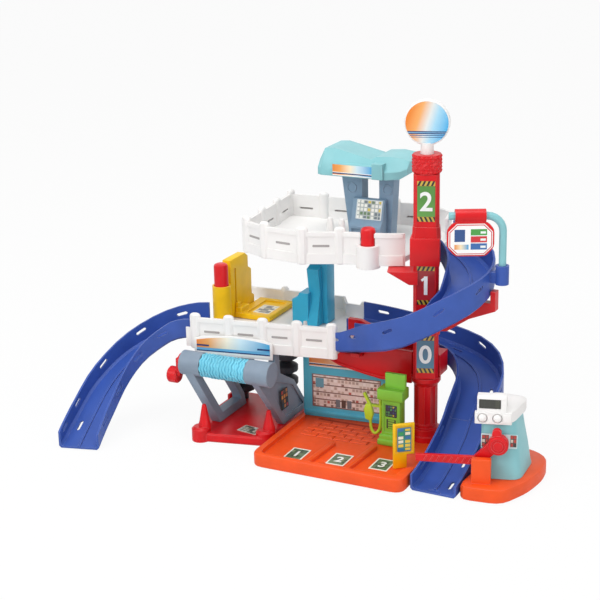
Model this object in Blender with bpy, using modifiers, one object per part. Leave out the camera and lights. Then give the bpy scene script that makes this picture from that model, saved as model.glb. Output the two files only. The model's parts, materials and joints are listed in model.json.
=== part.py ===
"""Toy garage: two decks on a tower, with car tracks, a wash, a lift, a pump and a gate booth.

Metres, +Z up. The origin is on the floor, on the axis of the red tower, and the open front faces -Y.
"""
import math

import bmesh
import bpy
from mathutils import Matrix, Vector

# Shared sizes
GAP = 0.0004                    # clearance between pieces that seat on each other
RUNNING_GAP = 0.0008            # clearance round pieces that slide or turn
SHEET = 0.0026                  # wall of the moulded tracks
TOWER_TURN = math.radians(18.0)
SIGN_TURN = math.radians(25.0)

# Decks
DECK_1_UNDER = 0.117
DECK_2_UNDER = 0.245
DECK_FLOOR = 0.012              # top of a deck floor above its underside
DECK_WALL = 0.043               # height of a deck wall
DECK_PLATE = 0.007
WALL_THICKNESS = 0.0034
POST_WIDTH = 0.0095
POST_RISE = 0.004               # how far a post stands over the wall
POST_PROUD = 0.0027             # how far a post stands out of the wall
WALL_SLOT_LENGTH = 0.020
WALL_SLOT_HEIGHT = 0.0026
WALL_SLOT_RISE = 0.023
WALL_LIP = 0.0014
DECK_1_FLOOR = DECK_1_UNDER + DECK_FLOOR
DECK_2_FLOOR = DECK_2_UNDER + DECK_FLOOR
DECK_1_FRONT_LEFT = (-0.312, -0.066)
DECK_1_FRONT_RIGHT = (-0.113, -0.034)
DECK_1_BACK_LEFT = (-0.334, 0.127)
DECK_1_BACK_STEP = (-0.174, 0.133)   # where the back wall steps forward
DECK_1_BACK_NOOK = (-0.158, 0.106)
DECK_1_BACK_RIGHT = (-0.131, 0.104)
DECK_1_BACK_WALL = 0.0305       # the back wall is lower than the front one
DECK_2_LEFT = (-0.250, -0.018)
DECK_2_FRONT_LEFT = (-0.214, -0.035)
DECK_2_FRONT = (-0.155, -0.042)
DECK_2_FRONT_RIGHT = (-0.110, -0.024)
DECK_2_BACK_LEFT = (-0.262, 0.140)
DECK_2_BACK_RIGHT = (-0.050, 0.152)

# Car tracks
TRACK_WIDTH = 0.061             # over the side walls
TRACK_RIB_WIDTH = 0.003
TRACK_RIB_HEIGHT = 0.0018
TRACK_SLOT_WIDTH = 0.0042
TRACK_SLOT_LENGTH = 0.017
SPIRAL_RADIUS = 0.0565          # centre line of the upper track round the tower
CURVE_RADIUS = 0.0705           # centre line of the lower track round the tower
LEFT_RAMP_WIDTH = 0.056
MOUTH_FRONT_Y = -0.001          # middle of the front mouth in the right edge of deck 1
MOUTH_BACK_X = -0.131           # the back mouth of deck 1
MOUTH_BACK_Y = 0.0705
EXIT_TOP = (0.0701, -0.024, 0.0560)
EXIT_NEXT = (0.0701, -0.048, 0.0385)
EXIT_END = (0.0632, -0.138, 0.0035)
LEFT_END = (-0.4180, -0.192, 0.0035)

# Tower
COLUMN_RADIUS = 0.0155
FOOT_RADIUS = 0.0212
FLANGE_Z = 0.094
FLANGE_RADIUS = 0.0195
FLANGE_HEIGHT = 0.006
POLE_HALF_WIDTH = 0.0162
POLE_FLAT = 0.0125              # half width of the flat front
POLE_TOP = 0.3700
KNOB_RADIUS = 0.0185
KNOB_HEIGHT = 0.0235
SIGN_DISC_RADIUS = 0.0285
SIGN_DISC_DEPTH = 0.011
SIGN_CENTRE_Z = 0.4335

# Parking sign on its bent post, which stands in a cup on the upper track
POST_X = 0.1010
POST_Y = -0.001
POST_FOOT = 0.2416
POST_RADIUS = 0.0049
SIGN_BAR_Z = 0.3245
SIGN_BAR_LENGTH = 0.0670
SIGN_PLACE = 0.0405             # middle of the swinging sign along the bar

# Arms of the tower
ARM_TIP_X = -0.1240
ARM_FRONT = 0.0308
ARM_BACK = 0.0378

# Ground pieces
BASE_HEIGHT = 0.019
BASE_FLOOR = 0.0125
BASE_RIM = 0.010
PARKING_LEFT = -0.183
PARKING_RIGHT = 0.0285
PARKING_FRONT = -0.154
PARKING_BACK = 0.030
BAY_WALLS = (-0.107, -0.053)
WASH_LEFT = -0.309
WASH_RIGHT = -0.1905
WASH_FRONT_LEFT = -0.108
WASH_FRONT_RIGHT = -0.086
WASH_BACK = 0.056
BOSS_RADIUS = 0.0125
BOSS_HEIGHT = 0.020

# Car wash
ROLLER_Y = -0.088
ROLLER_Z = 0.1040
ROLLER_RADIUS = 0.0152
ROLLER_LEFT = -0.2810
ROLLER_RIGHT = -0.2145
AXLE_RADIUS = 0.004
CAP_LEFT = -0.3120
CAP_RIGHT = -0.1800
CAP_RADIUS = 0.0165
LEG_LEFT_X = -0.2740            # right faces of the two legs
LEG_RIGHT_X = -0.1910
LEG_LEFT_THICKNESS = 0.014
LEG_RIGHT_THICKNESS = 0.010
LEG_LEFT_LEAN = -0.208          # sideways lean of each leg for its height
LEG_RIGHT_LEAN = -0.055
CRANK_RADIUS = 0.012
CRANK_THROW = 0.020
CRANK_KNOB_RADIUS = 0.0112
BRUSH_RADIUS = 0.0165
BRUSH_CORE = 0.007
BRUSH_LEFT_X = -0.288
BRUSH_RIGHT_X = -0.2195
BRUSH_Y = 0.032
BRUSH_DISCS = 5

# Lift on deck 1
LIFT_LEFT = -0.3005
LIFT_RIGHT = -0.246
LIFT_FRONT = 0.037
LIFT_BACK = 0.115
LIFT_TRAVEL = 0.022
LIFT_FRAME_TOP = 0.214
PLUNGER_RADIUS = 0.0098
TUBE_RADIUS = 0.0128
TUBE_TOP = 0.183
PLUNGER_TOP = 0.214
TUBE_X = -0.307
TUBE_Y = 0.013

# Cabin on deck 2
CABIN_LEFT = -0.139             # foot of the left column's outer side
CABIN_RIGHT = -0.079
CABIN_LEFT_LEAN = 0.011
CABIN_RIGHT_LEAN = 0.005
CABIN_FRONT = 0.072
CABIN_BACK = 0.092
CABIN_TOP = 0.343
BUTTON_X = -0.0755
BUTTON_Y = -0.012
BUTTON_RADIUS = 0.0096
BUTTON_HOUSING_RADIUS = 0.0156
BUTTON_HOUSING_TOP = 0.2715
BUTTON_TOP = 0.2945
BUTTON_TRAVEL = 0.006

# Gate booth
BOOTH_FOOT = [(0.1110, -0.1090), (0.1603, -0.0958), (0.1570, -0.0300), (0.1030, -0.0300)]
BOOTH_NECK = [(0.1080, -0.0979), (0.1491, -0.0869), (0.1450, -0.0350), (0.1040, -0.0350)]
BOOTH_CAP = [(0.1040, -0.1034), (0.1485, -0.0925), (0.1500, -0.0330), (0.1015, -0.0330)]
BOOTH_CORNER = 0.012            # how far the booth's corners are rounded
BOOTH_TOP = 0.090
BOOTH_CAP_EDGE = 0.1040         # upper edge of the cap's side
BOOTH_TIP_Z = 0.1250            # top of the screen hood
BOOTH_PANEL_FRONT = -0.1300     # front of the cap's panel before the gate's turn
SCREEN_LEFT = 0.0785
SCREEN_RIGHT = 0.1050
SCREEN_LOW = 0.1089
SCREEN_TOP = 0.1207
BOOTH_BUTTONS = (0.0830, 0.1010)     # X of the two buttons before the gate's turn
BOOTH_BUTTON_Z = 0.0972
GATE_PIVOT = (0.1345, -0.1035, 0.0655)
GATE_TURN = math.radians(15.0)  # the booth's front and the gate face a little to the right
GATE_LENGTH = 0.101
GATE_DROP = 0.022
HUB_RADIUS = 0.0125
HUB_DEPTH = 0.009
GATE_REST_TOP = 0.0375
REST_LEFT = 0.0715             # left end of the gate's rest before the gate's turn
REST_LENGTH = 0.0240

PARTS = None
GUIDES = None


def start_scene():
    """Empties the scene and makes the two collections."""
    global PARTS, GUIDES
    for thing in list(bpy.data.objects):
        bpy.data.objects.remove(thing, do_unlink=True)
    PARTS = bpy.data.collections.new("toy_garage")
    GUIDES = bpy.data.collections.new("cutters_and_joined_shapes")
    bpy.context.scene.collection.children.link(PARTS)
    bpy.context.scene.collection.children.link(GUIDES)


def plastic(name, colour, roughness=0.35):
    """Moulded plastic in one colour."""
    finish = bpy.data.materials.get(name)
    if finish is None:
        finish = bpy.data.materials.new(name)
        finish.use_nodes = True
        shader = finish.node_tree.nodes["Principled BSDF"]
        shader.inputs["Base Color"].default_value = (*colour, 1.0)
        shader.inputs["Roughness"].default_value = roughness
        shader.inputs["Metallic"].default_value = 0.0
    return finish


RED = ("red_plastic", (0.74, 0.012, 0.016))
ORANGE = ("orange_plastic", (0.87, 0.09, 0.012))
BLUE = ("blue_plastic", (0.052, 0.085, 0.43))
WHITE = ("white_plastic", (0.86, 0.85, 0.84))
YELLOW = ("yellow_plastic", (0.95, 0.66, 0.01))
TEAL = ("teal_plastic", (0.04, 0.45, 0.67))
PALE_TEAL = ("pale_teal_plastic", (0.27, 0.68, 0.70))
GREY = ("grey_plastic", (0.16, 0.22, 0.28))
CABIN_GREY = ("blue_grey_plastic", (0.15, 0.27, 0.36))
SKY = ("sky_blue_plastic", (0.15, 0.56, 0.77))
GREEN = ("green_plastic", (0.20, 0.54, 0.05))
LIME = ("lime_plastic", (0.46, 0.66, 0.03))
DARK = ("dark_plastic", (0.02, 0.02, 0.03))


def new_object(name, mesh):
    """An object of a mesh, still in no collection."""
    return bpy.data.objects.new(name, mesh)


def from_bmesh(name, shape):
    """Turns a bmesh into an object."""
    mesh = bpy.data.meshes.new(name)
    bmesh.ops.recalc_face_normals(shape, faces=shape.faces)
    shape.to_mesh(mesh)
    shape.free()
    return new_object(name, mesh)


def move_mesh(thing, matrix):
    """Moves the mesh and leaves the object's origin."""
    thing.data.transform(matrix)
    return thing


def turn_about(thing, angle, centre=(0.0, 0.0, 0.0), axis="Z"):
    """Turns the mesh about an axis through a point."""
    there = Matrix.Translation(Vector(centre))
    return move_mesh(thing, there @ Matrix.Rotation(angle, 4, axis) @ there.inverted())


def block(name, low, high, bevel=0.0, segments=2):
    """A box between two corners, with rounded edges if asked."""
    shape = bmesh.new()
    bmesh.ops.create_cube(shape, size=1.0)
    low, high = Vector(low), Vector(high)
    bmesh.ops.scale(shape, vec=high - low, verts=shape.verts)
    bmesh.ops.translate(shape, vec=(low + high) / 2.0, verts=shape.verts)
    thing = from_bmesh(name, shape)
    if bevel > 0.0:
        round_edges(thing, bevel, segments)
    return thing


def lean(thing, slope, from_height):
    """Leans the mesh sideways in X by a slope above a height."""
    matrix = Matrix.Identity(4)
    matrix[0][2] = slope
    matrix[0][3] = -slope * from_height
    return move_mesh(thing, matrix)


def round_edges(thing, width, segments=2, angle=40.0):
    """Rounds the sharp edges with a Bevel modifier."""
    rounding = thing.modifiers.new("rounding", "BEVEL")
    rounding.width = width
    rounding.segments = segments
    rounding.limit_method = "ANGLE"
    rounding.angle_limit = math.radians(angle)
    return thing


def rod(name, centre, radius, height, axis="Z", sides=24, top_radius=None):
    """A cylinder or a cone that starts at centre and runs along an axis."""
    shape = bmesh.new()
    end = radius if top_radius is None else top_radius
    bmesh.ops.create_cone(shape, cap_ends=True, segments=sides, radius1=radius, radius2=end, depth=height)
    bmesh.ops.translate(shape, vec=(0.0, 0.0, height / 2.0), verts=shape.verts)
    if axis == "X":
        bmesh.ops.rotate(shape, matrix=Matrix.Rotation(math.radians(90.0), 3, "Y"), verts=shape.verts)
    if axis == "Y":
        bmesh.ops.rotate(shape, matrix=Matrix.Rotation(math.radians(-90.0), 3, "X"), verts=shape.verts)
    bmesh.ops.translate(shape, vec=centre, verts=shape.verts)
    return from_bmesh(name, shape)


def plate(name, outline, low, high, bevel=0.0, segments=2):
    """A flat outline in X and Y, extruded from one height to another."""
    curve = bpy.data.curves.new(name, "CURVE")
    curve.dimensions = "2D"
    curve.fill_mode = "BOTH"
    curve.extrude = (high - low) / 2.0
    spline = curve.splines.new("POLY")
    spline.points.add(len(outline) - 1)
    for point, place in zip(spline.points, outline):
        point.co = (place[0], place[1], 0.0, 1.0)
    spline.use_cyclic_u = True
    thing = curve_to_mesh(name, curve)
    move_mesh(thing, Matrix.Translation((0.0, 0.0, (low + high) / 2.0)))
    if bevel > 0.0:
        round_edges(thing, bevel, segments)
    return thing


def side_plate(name, outline, low, high, bevel=0.0, segments=2):
    """A flat outline in Y and Z, extruded along X."""
    thing = plate(name, outline, low, high)
    swap = Matrix(((0, 0, 1, 0), (1, 0, 0, 0), (0, 1, 0, 0), (0, 0, 0, 1)))
    move_mesh(thing, swap)
    if bevel > 0.0:
        round_edges(thing, bevel, segments)
    return thing


def front_plate(name, outline, front, back, bevel=0.0, segments=2):
    """A flat outline in X and Z, extruded along Y."""
    thing = plate(name, outline, -back, -front)
    swap = Matrix(((1, 0, 0, 0), (0, 0, -1, 0), (0, 1, 0, 0), (0, 0, 0, 1)))
    move_mesh(thing, swap)
    if bevel > 0.0:
        round_edges(thing, bevel, segments)
    return thing


def curve_to_mesh(name, curve):
    """Makes a mesh object of a curve and welds its caps."""
    source = new_object(name + "_curve", curve)
    bpy.context.scene.collection.objects.link(source)
    bpy.context.view_layer.update()
    evaluated = source.evaluated_get(bpy.context.evaluated_depsgraph_get())
    mesh = bpy.data.meshes.new_from_object(evaluated)
    bpy.data.objects.remove(source, do_unlink=True)
    shape = bmesh.new()
    shape.from_mesh(mesh)
    bmesh.ops.remove_doubles(shape, verts=shape.verts, dist=0.00001)
    bmesh.ops.dissolve_limit(shape, angle_limit=0.001, verts=shape.verts, edges=shape.edges)
    bpy.data.meshes.remove(mesh)
    return from_bmesh(name, shape)


def tube(name, points, radius, resolution=3):
    """A round tube along a list of points, with filled caps."""
    curve = bpy.data.curves.new(name, "CURVE")
    curve.dimensions = "3D"
    curve.bevel_depth = radius
    curve.bevel_resolution = resolution
    curve.use_fill_caps = True
    spline = curve.splines.new("POLY")
    spline.points.add(len(points) - 1)
    for point, place in zip(spline.points, points):
        point.co = (*place, 1.0)
    source = new_object(name + "_curve", curve)
    bpy.context.scene.collection.objects.link(source)
    bpy.context.view_layer.update()
    evaluated = source.evaluated_get(bpy.context.evaluated_depsgraph_get())
    mesh = bpy.data.meshes.new_from_object(evaluated)
    bpy.data.objects.remove(source, do_unlink=True)
    shape = bmesh.new()
    shape.from_mesh(mesh)
    bmesh.ops.remove_doubles(shape, verts=shape.verts, dist=0.00001)
    bpy.data.meshes.remove(mesh)
    return from_bmesh(name, shape)


def turned(name, profile, steps=28):
    """A turned shape: a profile of radius and height pairs, listed from the top down."""
    mesh = bpy.data.meshes.new(name)
    places = [(radius, 0.0, height) for radius, height in profile]
    mesh.from_pydata(places, [(i, i + 1) for i in range(len(places) - 1)], [])
    thing = new_object(name, mesh)
    spin = thing.modifiers.new("spin", "SCREW")
    spin.steps = steps
    spin.render_steps = steps
    spin.use_merge_vertices = True
    spin.merge_threshold = 0.00001
    return thing


def loft(name, rings):
    """A closed solid through rings of equal point counts, capped at both ends."""
    shape = bmesh.new()
    rows = [[shape.verts.new(place) for place in ring] for ring in rings]
    for row, following in zip(rows, rows[1:]):
        for i in range(len(row)):
            j = (i + 1) % len(row)
            shape.faces.new((row[i], row[j], following[j], following[i]))
    shape.faces.new(list(reversed(rows[0])))
    shape.faces.new(rows[-1])
    return from_bmesh(name, shape)


def as_guide(thing):
    """Keeps a shape only as a cutter or as something that is joined."""
    if thing.name not in GUIDES.objects:
        GUIDES.objects.link(thing)
    thing.hide_render = True
    thing.display_type = "WIRE"
    return thing


def combine(target, others, operation):
    """Adds one Boolean modifier for each of the other shapes."""
    for other in others:
        as_guide(other)
        step = target.modifiers.new(operation.lower(), "BOOLEAN")
        step.operation = operation
        step.solver = "EXACT"
        step.object = other
    return target


def fuse(target, *others):
    return combine(target, others, "UNION")


def carve(target, *others):
    return combine(target, others, "DIFFERENCE")


def finish(thing, name, finish_of, smooth=35.0, origin=None):
    """Names a sub-part, gives it its material and puts its origin on its joint."""
    thing.name = name
    thing.data.name = name
    thing.data.materials.clear()
    thing.data.materials.append(plastic(*finish_of))
    thing.data.shade_smooth()
    thing.data.set_sharp_from_angle(angle=math.radians(smooth))
    if origin is not None:
        thing.data.transform(Matrix.Translation(-Vector(origin)))
        thing.location = origin
    PARTS.objects.link(thing)
    return thing


def rounded_outline(half_x, half_y, radius, centre=(0.0, 0.0), turn=0.0, steps=5):
    """A rectangle with round corners."""
    places = []
    for corner, (sx, sy) in enumerate(((1, 1), (-1, 1), (-1, -1), (1, -1))):
        for i in range(steps + 1):
            angle = math.radians(90.0 * corner + 90.0 * i / steps)
            x = sx * (half_x - radius) + radius * math.cos(angle)
            y = sy * (half_y - radius) + radius * math.sin(angle)
            places.append((x, y))
    cos, sin = math.cos(turn), math.sin(turn)
    return [(centre[0] + x * cos - y * sin, centre[1] + x * sin + y * cos) for x, y in places]


def soften(outline, radius, steps=4):
    """Rounds every corner of an outline by the same radius."""
    places = []
    count = len(outline)
    for i in range(count):
        here = Vector(outline[i])
        before = Vector(outline[i - 1]) - here
        after = Vector(outline[(i + 1) % count]) - here
        reach = min(radius, before.length * 0.45, after.length * 0.45)
        first = here + before.normalized() * reach
        last = here + after.normalized() * reach
        for k in range(steps + 1):
            t = k / steps
            places.append(tuple(first * (1 - t) ** 2 + here * (2 * t * (1 - t)) + last * t ** 2))
    return places


def smooth_path(points, per_span=6):
    """A Catmull-Rom curve through the points of a route."""
    route = [Vector(point) for point in points]
    route = [route[0] * 2 - route[1]] + route + [route[-1] * 2 - route[-2]]
    places = []
    for a, b, c, d in zip(route, route[1:], route[2:], route[3:]):
        for i in range(per_span):
            t = i / per_span
            places.append(0.5 * ((b * 2) + (c - a) * t + (a * 2 - b * 5 + c * 4 - d) * t * t
                                 + (b * 3 - a - c * 3 + d) * t ** 3))
    places.append(route[-2])
    return places


def track_frames(path):
    """For each point of a path: the point, its heading and its level direction to the right."""
    frames = []
    for i, here in enumerate(path):
        ahead = path[min(i + 1, len(path) - 1)] - path[max(i - 1, 0)]
        heading = ahead.normalized()
        right = heading.cross(Vector((0, 0, 1))).normalized()
        frames.append((here, heading, right))
    return frames


def along(share, heights):
    """A height that changes evenly through the values listed, for a share of the path."""
    place = share * (len(heights) - 1)
    low = min(int(place), len(heights) - 2)
    return heights[low] + (heights[low + 1] - heights[low]) * (place - low)


def track(name, path, slots, left_walls, right_walls, width=TRACK_WIDTH):
    """A moulded gutter with two side walls, a middle rib and long slots.

    Each slot is (how far along the path from 0 to 1, "left", "right", "floor_left" or "floor_right").
    The heights of each side wall are spread evenly over the path.
    """
    half = width / 2.0
    rib = TRACK_RIB_WIDTH / 2.0
    chamfer = 0.003
    rings = []
    frames = track_frames(path)
    up = Vector((0, 0, 1))
    for index, (here, heading, right) in enumerate(frames):
        left_wall = along(index / (len(frames) - 1), left_walls)
        right_wall = along(index / (len(frames) - 1), right_walls)
        section = [
            (-half, left_wall), (-half, chamfer - SHEET), (-half + chamfer, -SHEET),
            (half - chamfer, -SHEET), (half, chamfer - SHEET), (half, right_wall),
            (half - SHEET, right_wall), (half - SHEET, chamfer), (half - SHEET - chamfer, 0.0),
            (rib, 0.0), (rib, TRACK_RIB_HEIGHT), (-rib, TRACK_RIB_HEIGHT), (-rib, 0.0),
            (-half + SHEET + chamfer, 0.0), (-half + SHEET, chamfer), (-half + SHEET, left_wall),
        ]
        rings.append([here + right * across + up * rise for across, rise in section])
    gutter = loft(name, rings)
    cutters = []
    for index, (share, side) in enumerate(slots):
        place = share * (len(frames) - 1)
        low = min(int(place), len(frames) - 2)
        here = frames[low][0].lerp(frames[low + 1][0], place - low)
        heading = frames[low][1].lerp(frames[low + 1][1], place - low).normalized()
        right = heading.cross(Vector((0, 0, 1))).normalized()
        cutter = stadium(f"{name}_slot_{index}", TRACK_SLOT_LENGTH, TRACK_SLOT_WIDTH, 4.0 * SHEET)
        if side.startswith("floor"):
            across = 0.24 * width * (1.0 if side == "floor_right" else -1.0)
            rise, through = -SHEET / 2.0, right.cross(heading)
        else:
            across = (half - SHEET / 2.0) * (1.0 if side == "right" else -1.0)
            walls = right_walls if side == "right" else left_walls
            rise, through = along(share, walls) * 0.62, right
        flat = through.cross(heading).normalized()
        centre = here + right * across + Vector((0, 0, rise))
        pose = Matrix((
            (heading.x, flat.x, through.x, centre.x),
            (heading.y, flat.y, through.y, centre.y),
            (heading.z, flat.z, through.z, centre.z),
            (0, 0, 0, 1)))
        move_mesh(cutter, pose)
        fix_facing(cutter)
        cutters.append(cutter)
    carve(gutter, *cutters)
    return gutter


def fix_facing(thing):
    """Points a closed mesh's faces out again after a turn that mirrors it."""
    shape = bmesh.new()
    shape.from_mesh(thing.data)
    bmesh.ops.recalc_face_normals(shape, faces=shape.faces)
    shape.to_mesh(thing.data)
    shape.free()


def stadium(name, length, width, depth, steps=2):
    """A slot cutter: a bar with round ends, long in X and cutting along Z."""
    outline = []
    reach = (length - width) / 2.0
    for end in (1, -1):
        for i in range(steps + 1):
            angle = math.radians(-90.0 + 180.0 * i / steps)
            outline.append((end * (reach + width / 2.0 * math.cos(angle)), end * width / 2.0 * math.sin(angle)))
    return plate(name, outline, -depth / 2.0, depth / 2.0)


def offset_line(places, distance):
    """Moves a broken line sideways to its left, with mitred corners."""
    moved = []
    for i, place in enumerate(places):
        here = Vector(place)
        ahead = Vector(places[i + 1]) - here if i + 1 < len(places) else here - Vector(places[i - 1])
        behind = here - Vector(places[i - 1]) if i > 0 else ahead
        ahead_left = Vector((-ahead.y, ahead.x)).normalized()
        behind_left = Vector((-behind.y, behind.x)).normalized()
        mitre = (ahead_left + behind_left).normalized()
        moved.append(tuple(here + mitre * (distance / mitre.dot(ahead_left))))
    return moved


def shortened(places, amount):
    """A broken line with both of its ends drawn in."""
    first, last = Vector(places[0]), Vector(places[-1])
    first += (Vector(places[1]) - first).normalized() * amount
    last += (Vector(places[-2]) - last).normalized() * amount
    return [tuple(first)] + list(places[1:-1]) + [tuple(last)]


def band(name, places, near, far, low, high):
    """A wall along a broken line, between two distances to the left of it."""
    outline = offset_line(places, near) + list(reversed(offset_line(places, far)))
    return plate(name, outline, low, high)


def deck_post(name, place, under, angle=0.0, width=POST_WIDTH):
    """A rounded crenel post on a deck wall."""
    half = width / 2.0
    chamfer = 0.0019
    outline = [(-half + chamfer, -POST_PROUD), (half - chamfer, -POST_PROUD), (half, -POST_PROUD + chamfer),
               (half, WALL_THICKNESS + 0.002), (-half, WALL_THICKNESS + 0.002), (-half, -POST_PROUD + chamfer)]
    post = plate(name, outline, under + 0.001, under + DECK_WALL + POST_RISE)
    move_mesh(post, Matrix.Translation((place[0], place[1], 0.0)) @ Matrix.Rotation(angle, 4, "Z"))
    return post


def wall_run(name, corners, panels, under, plain=(), bare=()):
    """A wall along a broken line with the outside on its right; gives the solids and the slot cutters.

    Each segment is divided into its number of panels, with a crenel post at every division and a slot
    in every panel. The segments in plain get neither slots nor posts, and the places in bare get no post.
    """
    top = under + DECK_WALL
    inner = shortened(corners, 0.0022)
    solids = [band(name, corners, 0.0, WALL_THICKNESS, under, top),
              band(name + "_lip", inner, -WALL_LIP, WALL_THICKNESS * 0.5, top - 0.006, top - GAP),
              band(name + "_skirt", inner, -WALL_LIP, WALL_THICKNESS * 0.5, under + GAP, under + 0.014)]
    cutters = []
    posts = []
    for i, (start, end) in enumerate(zip(corners, corners[1:])):
        run = Vector(end) - Vector(start)
        angle = math.atan2(run.y, run.x)
        if i in plain:
            continue
        drawn_in = run.normalized() * (POST_WIDTH * 0.62)
        first = Vector(start) + (drawn_in if i == 0 else drawn_in * 0.0)
        last = Vector(end) - (drawn_in if i + 1 == len(panels) else drawn_in * 0.0)
        places = between(first, last, panels[i])
        posts += [(place, angle) for place in places[:-1]]
        if i + 1 == len(panels) or i + 1 in plain:
            posts.append((places[-1], angle))
        for k, place in enumerate(places[:-1]):
            middle = run.length / panels[i] / 2.0
            rise = under + WALL_SLOT_RISE
            cutter = block(f"{name}_slot_{i}_{k}", (middle - WALL_SLOT_LENGTH / 2.0, -0.01, rise),
                           (middle + WALL_SLOT_LENGTH / 2.0, 0.02, rise + WALL_SLOT_HEIGHT))
            move_mesh(cutter, Matrix.Translation((place[0], place[1], 0.0)) @ Matrix.Rotation(angle, 4, "Z"))
            cutters.append(cutter)
    for i, (place, angle) in enumerate(posts):
        if i not in bare:
            solids.append(deck_post(f"{name}_post_{i}", place, under, angle))
    return solids, cutters


def between(start, end, count):
    """Evenly spaced places from start to end, ends included."""
    return [tuple(Vector(start).lerp(Vector(end), i / count)) for i in range(count + 1)]


def parking_base():
    """The orange ground plate: a raised rim in front, three bays and walls between them."""
    outline = soften([(PARKING_LEFT, PARKING_FRONT + 0.004), (PARKING_RIGHT, PARKING_FRONT),
                      (PARKING_RIGHT, -0.055), (PARKING_RIGHT, PARKING_BACK), (PARKING_LEFT, PARKING_BACK)], 0.016)
    base = plate("parking_base", outline, 0.0, BASE_HEIGHT, bevel=0.0035)
    inner = soften([(PARKING_LEFT + BASE_RIM, PARKING_FRONT + BASE_RIM), (0.016, PARKING_FRONT + BASE_RIM),
                    (0.016, -0.112), (PARKING_RIGHT + 0.01, -0.104), (PARKING_RIGHT + 0.01, PARKING_BACK + 0.01),
                    (PARKING_LEFT - 0.01, PARKING_BACK + 0.01), (PARKING_LEFT - 0.01, 0.005),
                    (PARKING_LEFT + BASE_RIM, 0.000)], 0.012)
    pocket = plate("parking_pocket", inner, BASE_FLOOR, BASE_HEIGHT + 0.01)
    carve(base, pocket)
    walls = []
    for index, x in enumerate(BAY_WALLS):
        wall = block(f"bay_wall_{index}", (x - 0.004, PARKING_FRONT + 0.003, BASE_FLOOR - 0.002),
                     (x + 0.004, -0.070 + 0.010 * index, BASE_HEIGHT - 0.0008), bevel=0.0028)
        turn_about(wall, math.radians(-4.0), (x, PARKING_FRONT, 0.0))
        walls.append(wall)
    fuse(base, *walls)
    seat = rod("tower_foot_seat", (0.0, 0.0, BASE_FLOOR - 0.003), FOOT_RADIUS + GAP, 0.02, sides=32)
    carve(base, seat)
    return finish(base, "parking_base", ORANGE)


def wash_base():
    """The red plate under the wash, with raised side rims and two traffic cones on bosses."""
    outline = soften([(WASH_LEFT + 0.014, WASH_FRONT_LEFT), (WASH_RIGHT, WASH_FRONT_RIGHT),
                      (WASH_RIGHT, WASH_BACK), (WASH_LEFT, WASH_BACK), (WASH_LEFT, -0.02)], 0.008, 2)
    base = plate("wash_base", outline, 0.0, BASE_FLOOR, bevel=0.002, segments=1)
    rims = [block("wash_rim_left", (WASH_LEFT + 0.003, 0.015, 0.002), (WASH_LEFT + 0.010, WASH_BACK - 0.003, 0.022), 0.002, 1),
            block("wash_rim_right", (WASH_RIGHT - 0.008, 0.040, 0.002), (WASH_RIGHT - 0.001, WASH_BACK - 0.003, 0.022),
                  0.002, 1)]
    bosses = []
    for name, x, y, tip in (("left", WASH_LEFT + 0.0245, WASH_FRONT_LEFT + 0.010, 0.0510),
                            ("right", WASH_RIGHT - 0.0090, WASH_FRONT_RIGHT + 0.011, 0.0470)):
        bosses.append(turned(f"boss_{name}", [(0.0, BOSS_HEIGHT), (BOSS_RADIUS - 0.0030, BOSS_HEIGHT),
                                              (BOSS_RADIUS, BOSS_HEIGHT - 0.003), (BOSS_RADIUS, 0.0002), (0.0, 0.0002)],
                             16))
        bosses[-1].location = (x, y, 0.0)
        bosses.append(turned(f"cone_{name}", [(0.0, tip), (0.0026, tip - 0.0010), (0.0034, tip - 0.0040),
                                              (0.0072, BOSS_HEIGHT + 0.0060), (0.0086, BOSS_HEIGHT + 0.0022),
                                              (0.0090, 0.0040), (0.0, 0.0040)], 14))
        bosses[-1].location = (x + 0.0040, y + 0.0040, 0.0)
    fuse(base, *rims, *bosses)
    for name, x in (("left", BRUSH_LEFT_X), ("right", BRUSH_RIGHT_X)):
        carve(base, rod(f"brush_socket_{name}", (x, BRUSH_Y, BASE_FLOOR - 0.006), 0.003 + RUNNING_GAP, 0.02, sides=16))
    return finish(base, "wash_base", RED)


def booth_base():
    """The orange plate under the booth, with the rest for the gate arm."""
    outline = soften([(0.0946, -0.1395), (0.1500, -0.1345), (0.1690, -0.090), (0.1755, -0.045), (0.1700, -0.012),
                      (0.1440, 0.006), (0.1030, 0.004), (0.1010, -0.045), (0.0990, -0.072), (0.0966, -0.100)], 0.016, 3)
    base = plate("booth_base", outline, 0.0, BASE_HEIGHT, bevel=0.0035)
    rest = block("gate_rest", (REST_LEFT + 0.0006, -0.1410, BASE_HEIGHT - 0.004),
                 (REST_LEFT + REST_LENGTH - 0.0006, -0.1350, GATE_REST_TOP), 0.0008)
    guard = block("gate_guard", (REST_LEFT, -0.1500, BASE_HEIGHT - 0.005),
                  (REST_LEFT + REST_LENGTH, -0.1398, GATE_REST_TOP + 0.013), 0.0016)
    for thing in (rest, guard):
        turn_about(thing, GATE_TURN)
    fuse(base, rest, guard)
    return finish(base, "booth_base", ORANGE)


def pole_outline(extra=0.0):
    """The pole's section: a flat front with bevelled corners and a round back."""
    half, flat = POLE_HALF_WIDTH + extra, POLE_FLAT + extra * 0.4
    places = [(-flat, -half), (flat, -half), (half, -half + 0.0045), (half, 0.0)]
    for i in range(1, 10):
        angle = math.radians(18.0 * i)
        places.append((half * math.cos(angle), half * math.sin(angle)))
    places += [(-half, 0.0), (-half, -half + 0.0045)]
    return places


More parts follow.
